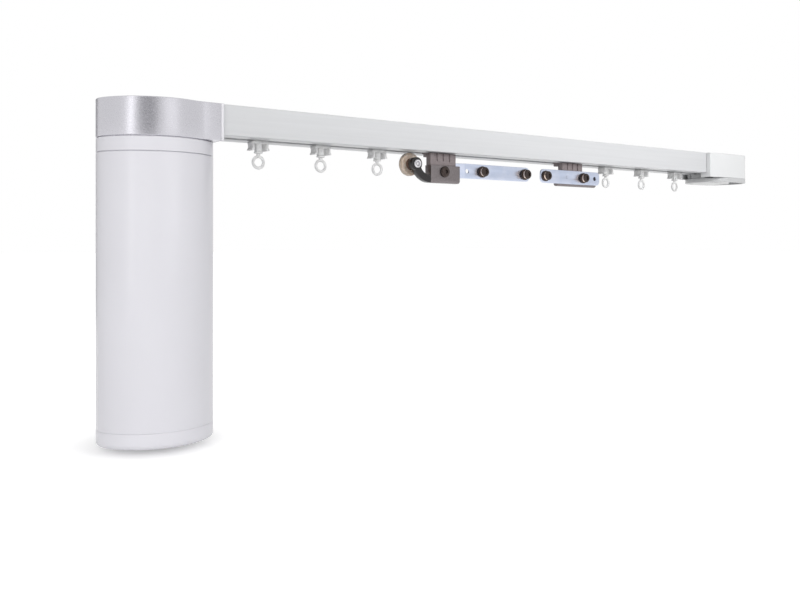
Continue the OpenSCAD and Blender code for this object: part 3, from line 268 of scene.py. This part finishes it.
# Cast polyurethane: soft, honey-beige and slightly see-through at the rim.
def makePolyurethane():
    cast = {"base": "#CDBFB2", "deep": "#B9A796", "cloud": 2.5}
    material, tree, shader = newMaterial("castPolyurethane", {
        "Roughness": 0.3, "IOR": 1.5, "Subsurface Weight": 0.35,
        "Subsurface Radius": (mm(2.5), mm(1.8), mm(1.2)), "Subsurface Scale": 1.0})
    place = addNode(tree, "TexCoord")
    cloud = addNode(tree, "TexNoise", {"Scale": perMm(cast["cloud"]), "Detail": 2.0},
                    {"Vector": place.outputs["Object"]})
    tone = addNode(tree, "ValToRGB", {"stops": [(0.35, linear(cast["deep"])), (0.65, linear(cast["base"]))]},
                   {"Fac": cloud.outputs["Fac"]})
    bump = addNode(tree, "Bump", {"Strength": 0.06, "Distance": mm(0.03)}, {"Height": cloud.outputs["Fac"]})
    tree.links.new(tone.outputs["Color"], shader.inputs["Base Color"])
    tree.links.new(bump.outputs["Normal"], shader.inputs["Normal"])
    return material


# Glass-epoxy board under green solder mask: glossy, with paler copper tracks beneath.
def makeCircuitBoard():
    board = {"mask": "#0F5A33", "track": "#1C7A48", "trackWidth": 1.2, "trackPitch": 12.0}
    material, tree, shader = newMaterial("solderMaskBoard", {"Roughness": 0.3, "IOR": 1.55})
    place = addNode(tree, "TexCoord")
    track = addNode(tree, "TexBrick", {
        "Scale": perMm(board["trackPitch"]), "Mortar Size": board["trackWidth"] / board["trackPitch"] / 2,
        "Color1": linear(board["mask"]), "Color2": linear(board["mask"]), "Mortar": linear(board["track"])},
        {"Vector": place.outputs["Object"]})
    bump = addNode(tree, "Bump", {"Strength": 0.1, "Distance": mm(0.03)}, {"Height": track.outputs["Fac"]})
    tree.links.new(track.outputs["Color"], shader.inputs["Base Color"])
    tree.links.new(bump.outputs["Normal"], shader.inputs["Normal"])
    return material


finish = {
    "rail_coat": makePowderCoat(),
    "housing_paint": makeSilverLacquer(),
    # the frame of the housing's mouth is the brightest white
    "trim_silver": makeWhiteAbs("mouldedTrimAbs", "#F0EFF4", "#EDECF1"),
    "case_white": makeWhiteAbs("mouldedWhiteAbs", "#E9E8EE", "#E7E6EC"),
    # the end housing is a plain white with no violet in it, on a grey base
    "end_white": makeWhiteAbs("mouldedEndAbs", "#E6E7E8", "#E3E4E5"),
    "end_grey": makeWhiteAbs("mouldedGreyAbs", "#C9CACB", "#C4C5C6"),
    "nylon": makeNylon(),
    "carrier_dark": makeFilledNylon(),
    # bent steel, blackened in a bath: dull warm grey
    "bracket_dark": makeMetal("blackenedSteel", "#8A8485", "#756F70", 0.42, 1.2),
    "zinc_plate": makeZincPlate(),
    # turned studs, barrel plated: near black and glossy
    "dark_chrome": makeMetal("blackNickel", "#4E4643", "#3B3432", 0.2, 0.8),
    # formed eyelet, chrome plated: bright and sharp
    "pin_chrome": makeMetal("chromePlate", "#D6D5D8", "#CBCACD", 0.12, 0.8),
    "roller_tyre": makePolyurethane(),
    # acetal and other moulded pieces: a waxy, even shine
    "roller_hub": makeMoulded("mouldedAcetalBrown", "#6B5245", "#574034", 0.4, 0.9, 1.48),
    "black_plastic": makeMoulded("mouldedAcetalBlack", "#1F1B1B", "#151212", 0.3, 0.9, 1.48),
    "inner_plastic": makeMoulded("mouldedAcetalGrey", "#6E6F72", "#626366", 0.45, 0.9, 1.48),
    # neoprene belt, moulded on cord: matt black
    "belt": makeMoulded("neopreneBelt", "#232323", "#171717", 0.7, 0.8, 1.52),
    "button": makeMoulded("mouldedButtonAbs", "#8C8D90", "#818285", 0.4, 0.8, 1.53),
    # ferrite, pressed and fired: dull and stony
    "magnet": makeMoulded("pressedFerrite", "#3B3B3D", "#2E2E30", 0.6, 0.7, 2.2),
    "board": makeCircuitBoard(),
    # sintered bronze and die-cast zinc are dull, turned and hobbed pieces bright
    "bearing_bronze": makeMetal("sinteredBronze", "#A9824B", "#8C6A3B", 0.45, 0.5),
    "screw_steel": makeMetal("zincPlatedScrew", "#C6CCDC", "#B8C0D2", 0.3, 0.8),
    "gear_zinc": makeMetal("dieCastZinc", "#A9ABAE", "#97999C", 0.45, 1.5),
    "motor_steel": makeMetal("turnedSteel", "#AEB0B3", "#9A9C9F", 0.3, 0.5, (1.0, 1.0, 6.0)),
    "winding": makeMetal("enamelledCopper", "#B4683A", "#8E4C26", 0.35, 0.6, (6.0, 6.0, 1.0)),
    "gear_brass": makeMetal("hobbedBrass", "#C9A253", "#B28B3F", 0.3, 0.5),
}
# brass under a thin plate: a pale, warm band round each stud, carried onto the head's rim as a painted highlight
waistBrassAndPaintedHighlight = makeMetal("brassWaist", "#EAD8CA", "#D6BFAC", 0.2, 0.8)
print("finishes ready:", len(finish) + 1)


# building helpers

bodyOf = {node: body for body, nodes in frame["record"]["behaviour"]["bodies"].items() for node in nodes}
slotOf = {entry["node"]: entry["material_slot"] for entry in frame["record"]["subparts"]}
angles = {"smooth": 38, "rim": 30, "flat": 0.5}  # degrees: shaded as one, bevelled, and merged


def boxOf(node):
    return [corner * 1000.0 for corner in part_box(node)]  # lowest and highest corner in millimetres


def finishPiece(name, bm, node, materials=None):
    mesh = bpy.data.meshes.new(name)
    bmesh.ops.remove_doubles(bm, verts=bm.verts, dist=1e-7)
    bmesh.ops.recalc_face_normals(bm, faces=bm.faces)
    bm.to_mesh(mesh)
    bm.free()
    piece = bpy.data.objects.new(name, mesh)
    scene.collection.objects.link(piece)
    for material in materials or [finish[slotOf[node]]]:
        mesh.materials.append(material)
    mesh.shade_smooth()
    mesh.set_sharp_from_angle(angle=radians(angles["smooth"]))
    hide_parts(node)
    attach(piece, bodyOf[node])


def softenNode(node, edge, steps=2, name=None):
    bm = bmesh.new()
    bm.from_mesh(frame["nodes"][node].data)
    bmesh.ops.remove_doubles(bm, verts=bm.verts, dist=1e-6)
    bmesh.ops.dissolve_limit(bm, angle_limit=radians(angles["flat"]), verts=bm.verts, edges=bm.edges)
    rims = [e for e in bm.edges if len(e.link_faces) == 2 and e.calc_face_angle() > radians(angles["rim"])]
    bmesh.ops.bevel(bm, geom=rims, offset=mm(edge), offset_type="OFFSET", segments=steps, profile=0.5,
                    affect="EDGES", clamp_overlap=False)
    finishPiece(name or node.replace("_", "") + "Skin", bm, node)


def skinRings(bm, rings):  # the last ring joins the first
    for low, high in zip(rings, rings[1:] + rings[:1]):
        for i in range(len(low)):
            j = (i + 1) % len(low)
            bm.faces.new((low[i], low[j], high[j], high[i]))


def turn(bm, outline, origin, axis, steps=48, index=0):
    # outline holds (radius, distance along axis) in millimetres, as does the origin;
    # the small steps in the outlines below are eased edges
    along = Vector(axis).normalized()
    side = along.orthogonal().normalized()
    other = along.cross(side)
    base = Vector(origin) / 1000.0
    rings = []
    for radius, reach in outline:
        centre = base + along * mm(reach)
        if radius == 0:
            rings.append([bm.verts.new(centre)])
        else:
            rings.append([bm.verts.new(centre + (side * cos(2 * pi * k / steps) + other * sin(2 * pi * k / steps))
                                       * mm(radius)) for k in range(steps)])
    for low, high in zip(rings, rings[1:]):
        for k in range(steps):
            j = (k + 1) % steps
            corners = [low[k % len(low)], low[j % len(low)], high[j % len(high)], high[k % len(high)]]
            face = bm.faces.new(list(dict.fromkeys(corners)))
            face.material_index = index


# motor: collar and case follow one outline with a curved front, and the far side leans in to the back

motorForm = {"axis": -327.7, "left": 42.15, "right": 38.0, "leftTuck": 20.0, "rightTuck": 0.0, "back": 36.0,
             "frontRadius": 45.0, "front": 25.6, "sideRadius": 21.0, "backRadius": 7.0, "wall": 2.2,
             "frontSteps": 72, "sideSteps": 20, "backSteps": 12}


def sidePath(side, inset):
    # from the end of the curved front round the front corner, then round the back corner
    form = motorForm
    tuck = radians(form[side + "Tuck"])
    span = form["frontRadius"] - form["sideRadius"]
    inward = form[side] - form["sideRadius"]
    lean = asin(inward / span)
    centre = form["frontRadius"] - form["front"] - span * cos(lean)
    backY = form["back"] - form["backRadius"]
    backX = (form["sideRadius"] - form["backRadius"] + inward * cos(tuck) + (centre - backY) * sin(tuck)) / cos(tuck)
    radius = form["sideRadius"] - inset
    corner = form["backRadius"] - inset
    path = []
    for k in range(form["sideSteps"]):
        a = lean + (pi / 2 + tuck - lean) * (k + 1) / form["sideSteps"]
        path.append((inward + radius * sin(a), centre - radius * cos(a)))
    for k in range(form["backSteps"] + 1):
        a = pi / 2 + tuck + (pi / 2 - tuck) * k / form["backSteps"]
        path.append((backX + corner * sin(a), backY - corner * cos(a)))
    return lean, path


def motorOutline(inset):
    form = motorForm
    leftLean, leftPath = sidePath("left", inset)
    rightLean, rightPath = sidePath("right", inset)
    radius = form["frontRadius"] - inset
    middle = form["frontRadius"] - form["front"]
    points = []
    for k in range(form["frontSteps"] + 1):  # curved front, left to right
        a = -leftLean + (leftLean + rightLean) * k / form["frontSteps"]
        points.append((radius * sin(a), middle - radius * cos(a)))
    points += rightPath + [(-x, y) for x, y in reversed(leftPath)]
    return [(mm(form["axis"] + x), mm(y)) for x, y in points]


def motorTube(name, node, levels):
    # levels holds (height, inset) down the outside; the bore goes back up
    bm = bmesh.new()
    bore = [(z, motorForm["wall"]) for z in (levels[-1][0], levels[0][0])]
    skinRings(bm, [[bm.verts.new((x, y, mm(z))) for x, y in motorOutline(inset)] for z, inset in levels + bore])
    finishPiece(name, bm, node)


collar = {"top": -26.3, "low": -37.0, "gap": 0.6, "gapDepth": 1.6, "edge": 0.2}  # a thin groove above and below
upper = collar["top"] - collar["gap"]
lower = collar["low"] + collar["gap"]
motorTube("motorCollar", "motor_collar", [
    (collar["top"], collar["gapDepth"]), (upper, collar["gapDepth"]), (upper, collar["edge"]),
    (upper - collar["edge"], 0), (lower + collar["edge"], 0), (lower, collar["edge"]),
    (lower, collar["gapDepth"]), (collar["low"], collar["gapDepth"])])

case = {"top": -37.0, "low": -226.8, "edge": 0.45, "ease": 0.1}
motorTube("motorCase", "motor_case", [
    (case["top"], case["edge"]), (case["top"] - case["ease"], case["ease"]), (case["top"] - case["edge"], 0),
    (case["low"] + case["edge"], 0), (case["low"] + case["ease"], case["ease"]), (case["low"], case["edge"])])
print("motor case and collar built")

# covers and rail keep their solids' forms, with eased edges in millimetres
covers = {"rail": 0.35, "drive_housing": 0.6, "mouth_trim": 0.5, "end_housing": 0.8, "end_base": 0.5}
for node, edge in covers.items():
    softenNode(node, edge, 3)
print("rail and housings softened")

foot = {"edge": 0.45, "fittings": 0.4}
softenNode("bottom_cap", foot["edge"], name="motorFoot")
for node in ("power_inlet", "setting_button"):
    softenNode(node, foot["fittings"])
print("motor foot softened")

# carriers: blocks, brackets, strips and the curved roller arm keep their solids' forms
carriers = {"edge": 0.22}
for node in ("left_carrier_block", "right_carrier_block", "left_bracket", "right_bracket", "left_arm", "right_arm",
             "roller_arm"):
    softenNode(node, carriers["edge"])
print("carriers softened")

# snap stud: dark nickel base and socket with a bright waist between them, and the head's rim painted bright as a
# highlight
stud = {"back": 3.0, "shank": 1.9, "base": 5.1, "waist": 3.9, "head": 4.3, "socket": 1.9, "strip": 1.5,
        "baseThick": 1.6, "waistThick": 2.0, "length": 5.4, "rivet": 0.8, "depth": 1.0}


def addStud(bm, place):
    waistFrom = stud["baseThick"]
    waistTo = waistFrom + stud["waistThick"]
    face = (0, -1, 0)
    behind = -stud["strip"] - stud["rivet"]
    turn(bm, [(0, behind), (stud["back"] - 0.3, behind), (stud["back"], behind + 0.3),
              (stud["back"], -stud["strip"]), (stud["shank"], -stud["strip"]),
              (stud["shank"], 0), (stud["base"] - 0.5, 0), (stud["base"] - 0.1, 0.2), (stud["base"], 0.6),
              (stud["base"], 1.0), (stud["base"] - 0.2, waistFrom - 0.2), (stud["base"] - 0.7, waistFrom),
              (stud["waist"], waistFrom)], place, face)
    # pale brass waist, then the head's back face and rim in the same pale metal: a painted highlight
    turn(bm, [(stud["waist"], waistFrom), (stud["waist"] + 0.15, (waistFrom + waistTo) / 2), (stud["waist"], waistTo),
              (stud["head"] - 0.5, waistTo), (stud["head"] - 0.1, waistTo + 0.2), (stud["head"], waistTo + 0.6)],
         place, face, index=1)
    turn(bm, [(stud["head"], waistTo + 0.6), (stud["head"] - 0.1, waistTo + 1.0), (stud["head"] - 0.5, waistTo + 1.5),
              (stud["head"] - 1.1, stud["length"]), (stud["socket"] + 0.5, stud["length"]),
              (stud["socket"] + 0.1, stud["length"] - 0.2), (stud["socket"], stud["length"] - stud["depth"]),
              (0, stud["length"] - stud["depth"])], place, face)


for side in ("left", "right"):
    low, high = boxOf(side + "_snap_studs")
    bm = bmesh.new()
    for x in (low.x + stud["base"], high.x - stud["base"]):
        addStud(bm, (x, low.y + stud["length"], (low.z + high.z) / 2))
    finishPiece(side + "SnapStuds", bm, side + "_snap_studs", [finish["dark_chrome"], waistBrassAndPaintedHighlight])
print("snap studs turned")

# domed screw of the left bracket, with a round driver socket
dome = {"shank": 2.0, "head": 4.8, "rim": 0.6, "height": 2.4, "socket": 1.6, "depth": 1.1}
low, high = boxOf("left_arm_screw")
bm = bmesh.new()
rise = dome["height"] - dome["rim"]
arc = [(dome["head"] * cos(radians(a)), dome["rim"] + rise * sin(radians(a))) for a in range(0, 71, 7)]
tip = low.y + dome["height"] - high.y
bottom = dome["height"] - dome["depth"]
turn(bm, [(0, tip), (dome["shank"], tip), (dome["shank"], 0), (dome["head"] - 0.2, 0), (dome["head"], 0.2)] + arc +
     [(dome["socket"], dome["height"] - 0.15), (dome["socket"] - 0.15, bottom), (0, bottom)],
     ((low.x + high.x) / 2, low.y + dome["height"], (low.z + high.z) / 2), (0, -1, 0))
finishPiece("leftArmScrew", bm, "left_arm_screw")

# anti-tilt roller: eyelet pin, stepped hub and a tyre with round shoulders
roller = {"pin": 2.0, "pinHead": 3.6, "headThick": 2.0, "backThick": 1.0, "hub": 5.0, "tyre": 9.8, "shoulder": 1.3,
          "eyelet": [(0, 0.7), (0.9, 0.7), (1.3, 1.0), (1.5, 1.5), (1.7, 1.5), (2.0, 0.5), (2.4, 0.1), (2.9, 0)],
          "pinPlay": 0.05, "hubPlay": 0.03}
low, high = boxOf("roller_pin")
middle = ((low.x + high.x) / 2, low.y, (low.z + high.z) / 2)
length = high.y - low.y
bm = bmesh.new()
turn(bm, roller["eyelet"] + [
    (roller["pinHead"] - 0.3, 0.25), (roller["pinHead"], 0.8), (roller["pinHead"], roller["headThick"]),
    (roller["pin"], roller["headThick"]), (roller["pin"], length - roller["backThick"]),
    (roller["pinHead"], length - roller["backThick"]), (roller["pinHead"], length - 0.3),
    (roller["pinHead"] - 0.3, length), (0, length)], middle, (0, 1, 0))
finishPiece("rollerPin", bm, "roller_pin")

low, high = boxOf("roller_hub")
tyreLow, tyreHigh = boxOf("roller_tyre")
length = high.y - low.y
reach = tyreLow.y - low.y
bore = roller["pin"] + roller["pinPlay"]
bm = bmesh.new()
turn(bm, [(bore, 0), (roller["hub"] - 1.7, 0), (roller["hub"] - 1.4, 0.3), (roller["hub"] - 1.3, reach - 0.6),
          (roller["hub"] - 0.9, reach - 0.2), (roller["hub"], reach), (roller["hub"], length),
          (bore, length), (bore, 0)], (middle[0], low.y, middle[2]), (0, 1, 0))
finishPiece("rollerHub", bm, "roller_hub")

width = tyreHigh.y - tyreLow.y
inner = roller["hub"] + roller["hubPlay"]
shoulder = roller["shoulder"]
corner = [(roller["tyre"] - shoulder + shoulder * sin(radians(a)), shoulder - shoulder * cos(radians(a)))
          for a in range(0, 91, 15)]
bm = bmesh.new()
turn(bm, [(inner, 0.3), (inner + 0.8, 0.35), (inner + 1.4, 0)] + corner +
     [(r, width - y) for r, y in reversed(corner)] + [(inner + 1.4, width), (inner, width - 0.3), (inner, 0.3)],
     (middle[0], tyreLow.y, middle[2]), (0, 1, 0), 72)
finishPiece("rollerTyre", bm, "roller_tyre")
print("roller turned")

# gliders: softened runners, and swivel eyes with a round ring
glider = {"count": 6, "edge": 0.2}
eye = {"ring": 4.3, "wire": 1.1, "stem": 1.4, "head": 2.4, "headThick": 1.2, "collar": 3.3, "collarThick": 1.4,
       "neck": 1.5, "neckLength": 1.3, "flare": 0.4, "edge": 0.3}


def addRing(bm, place, ring, wire, steps=56, around=18):
    loops = []
    for k in range(steps):
        a = 2 * pi * k / steps
        loop = []
        for j in range(around):
            b = 2 * pi * j / around
            reach = ring + wire * cos(b)
            loop.append(bm.verts.new((mm(place[0] + reach * cos(a)), mm(place[1] + wire * sin(b)),
                                      mm(place[2] + reach * sin(a)))))
        loops.append(loop)
    skinRings(bm, loops)


for number in range(1, glider["count"] + 1):
    softenNode("glider_%d" % number, glider["edge"], name="gliderBody%d" % number)

for number in range(1, glider["count"] + 1):
    node = "glider_eye_%d" % number
    low, high = boxOf(node)
    x = (low.x + high.x) / 2
    ringTop = low.z + 2 * (eye["ring"] + eye["wire"])
    collarLow = ringTop + eye["neckLength"]
    collarTop = collarLow + eye["collarThick"]
    bm = bmesh.new()
    addRing(bm, (x, 0, ringTop - eye["ring"] - eye["wire"]), eye["ring"], eye["wire"])
    headLow = high.z - eye["headThick"]
    edge = eye["edge"]
    turn(bm, [(0, ringTop - eye["wire"]), (eye["neck"], ringTop - eye["wire"]),
              (eye["neck"], collarLow - eye["flare"]), (eye["neck"] + eye["flare"], collarLow),
              (eye["collar"] - edge, collarLow), (eye["collar"], collarLow + edge),
              (eye["collar"], collarTop - edge), (eye["collar"] - edge, collarTop),
              (eye["stem"], collarTop), (eye["stem"], headLow), (eye["head"], headLow),
              (eye["head"], high.z - edge), (eye["head"] - edge, high.z), (0, high.z)],
         (x, 0, 0), (0, 0, 1), 32)
    finishPiece("gliderEye%d" % number, bm, node)
print("gliders built")

# screws of the foot: pan heads underneath, with a round socket
pan = {"head": 2.8, "thick": 1.6, "shank": 1.5, "socket": 1.2, "depth": 0.9}
low, high = boxOf("cap_screws")
length = high.z - low.z
front, rear = low.y + pan["head"], high.y - pan["head"]
bm = bmesh.new()
for x, y in ((low.x + pan["head"], rear), (high.x - pan["head"], rear), (motorForm["axis"], front)):
    turn(bm, [(0, pan["depth"]), (pan["socket"] - 0.1, pan["depth"]), (pan["socket"], 0.1),
              (pan["socket"] + 0.1, 0), (pan["head"] - 0.6, 0), (pan["head"] - 0.1, 0.35),
              (pan["head"], 0.8), (pan["head"], pan["thick"]),
              (pan["shank"], pan["thick"]), (pan["shank"], length), (0, length)],
         (x, y, low.z), (0, 0, 1), 32)
finishPiece("footScrews", bm, "cap_screws")
print("screws turned")

for node, piece in frame["nodes"].items():
    piece.data.materials.clear()
    piece.data.materials.append(finish[slotOf[node]])
print("solids painted")

# studio in metres: pale floor, white surround, soft boxes and pale cards

studio = {"floor": "#FAFAFA", "floorSize": 8.0, "drop": 0.005, "liftFar": 0.68, "liftNear": 0.1, "sky": 0.4,
          "mirrorSky": 1.0, "foot": (-0.3277, 0.0194), "shade": 0.08, "focus": (-0.33, -0.02, -0.01)}
floorMesh = bpy.data.meshes.new("floor")
span = studio["floorSize"]
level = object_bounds()[0][2] - studio["drop"]  # the track hangs, so the motor is just clear of the floor
floorMesh.from_pydata([(-span, -span, level), (span, -span, level), (span, span, level), (-span, span, level)],
                      [], [(0, 1, 2, 3)])
floor = bpy.data.objects.new("floor", floorMesh)
scene.collection.objects.link(floor)
paper, paperTree, paperShader = newMaterial("matteStudioPaper", {"Base Color": linear(studio["floor"]),
                                                                "Roughness": 0.9})
# the paper is lifted to white for the eye and for mirrors, less so round the motor's foot: there the cast shadow
# shows, and the lower lift itself paints a grey shadow disc
paths = addNode(paperTree, "LightPath")
seen = addNode(paperTree, "Math", {"operation": "MAXIMUM"}, {0: paths.outputs["Is Camera Ray"],
                                                             1: paths.outputs["Is Glossy Ray"]})
seen = addNode(paperTree, "Math", {"operation": "MAXIMUM"}, {0: seen.outputs[0],
                                                             1: paths.outputs["Is Transmission Ray"]})
# a round patch about the foot, of radius shade, where the lift falls off: a painted shadow
spot = addNode(paperTree, "TexCoord")
around = addNode(paperTree, "Mapping", {
    "Scale": (1 / studio["shade"], 1 / studio["shade"], 0.0),
    "Location": (-studio["foot"][0] / studio["shade"], -studio["foot"][1] / studio["shade"], 0.0)},
    {"Vector": spot.outputs["Object"]})
near = addNode(paperTree, "TexGradient", {"gradient_type": "SPHERICAL"}, {"Vector": around.outputs[0]})
rise = addNode(paperTree, "MapRange", {"To Min": studio["liftFar"], "To Max": studio["liftNear"]},
               {"Value": near.outputs["Fac"]})
lift = addNode(paperTree, "Math", {"operation": "MULTIPLY"}, {0: seen.outputs[0], 1: rise.outputs["Result"]})
glow = addNode(paperTree, "Emission", {"Color": (1, 1, 1, 1)}, {"Strength": lift.outputs[0]})
both = addNode(paperTree, "AddShader", None, {0: paperShader.outputs[0], 1: glow.outputs[0]})
paperTree.links.new(both.outputs[0], paperTree.nodes["Material Output"].inputs["Surface"])
floorMesh.materials.append(paper)

world = bpy.data.worlds.new("studio")
scene.world = world
world.use_nodes = True
sky = world.node_tree
for node in list(sky.nodes):
    sky.nodes.remove(node)
paths = addNode(sky, "LightPath")
direct = addNode(sky, "Math", {"operation": "MAXIMUM"}, {0: paths.outputs["Is Camera Ray"],
                                                         1: paths.outputs["Is Transmission Ray"]})
power = addNode(sky, "MapRange", {"To Min": studio["sky"], "To Max": 1.0}, {"Value": direct.outputs[0]})
mirrored = addNode(sky, "Math", {"operation": "MULTIPLY_ADD", 1: studio["mirrorSky"] - studio["sky"]},
                   {0: paths.outputs["Is Glossy Ray"], 2: power.outputs["Result"]})
back = addNode(sky, "Background", {"Color": (1, 1, 1, 1)}, {"Strength": mirrored.outputs[0]})
addNode(sky, "OutputWorld", None, {"Surface": back.outputs[0]})


def aim(holder, place, target):
    holder.location = place
    holder.rotation_euler = (Vector(target) - Vector(place)).to_track_quat("-Z", "Y").to_euler()
    scene.collection.objects.link(holder)


def softBox(name, place, target, size, power, mirrored=True, beam=180):
    lamp = bpy.data.lights.new(name, "AREA")
    lamp.shape = "RECTANGLE"
    lamp.size, lamp.size_y = size
    lamp.energy = power
    lamp.spread = radians(beam)
    holder = bpy.data.objects.new(name, lamp)
    holder.visible_glossy = mirrored
    aim(holder, place, target)


softBox("stripLeft", (-1.45, -0.75, 0.1), (-0.33, 0.0, -0.1), (0.16, 1.6), 1.6)
softBox("boxMiddle", (0.08, -1.55, 0.3), (-0.33, 0.0, -0.1), (0.7, 1.0), 0.9)
softBox("keyCamera", (-0.88, -0.95, 0.1), (-0.33, 0.0, -0.12), (0.7, 0.7), 1.12, mirrored=False, beam=80)
softBox("boxRight", (0.19, -0.9, 0.3), (0.22, 0.0, -0.02), (0.5, 0.5), 0.9, mirrored=False, beam=70)

# pale cards that only mirrors see: the room behind the camera and a wall beyond the motor's side
cards = {"roomWall": {"place": (-0.75, -0.84, 0.1), "half": (0.26, 0.5), "grey": "#F6F6F8"},
         "sideWall": {"place": (-0.55, 0.85, 0.0), "half": (0.2, 0.5), "grey": "#E0E0E2"}}
for name, plan in cards.items():
    mesh = bpy.data.meshes.new(name)
    wide, tall = plan["half"]
    mesh.from_pydata([(-wide, -tall, 0), (wide, -tall, 0), (wide, tall, 0), (-wide, tall, 0)], [], [(0, 1, 2, 3)])
    felt = newMaterial(name + "Felt", {"Base Color": linear(plan["grey"]), "Roughness": 0.95})
    mesh.materials.append(felt[0])
    card = bpy.data.objects.new(name, mesh)
    aim(card, plan["place"], studio["focus"])
    card.visible_camera = False
    card.visible_diffuse = False
    card.visible_transmission = False
    card.visible_shadow = False
print("studio lit")
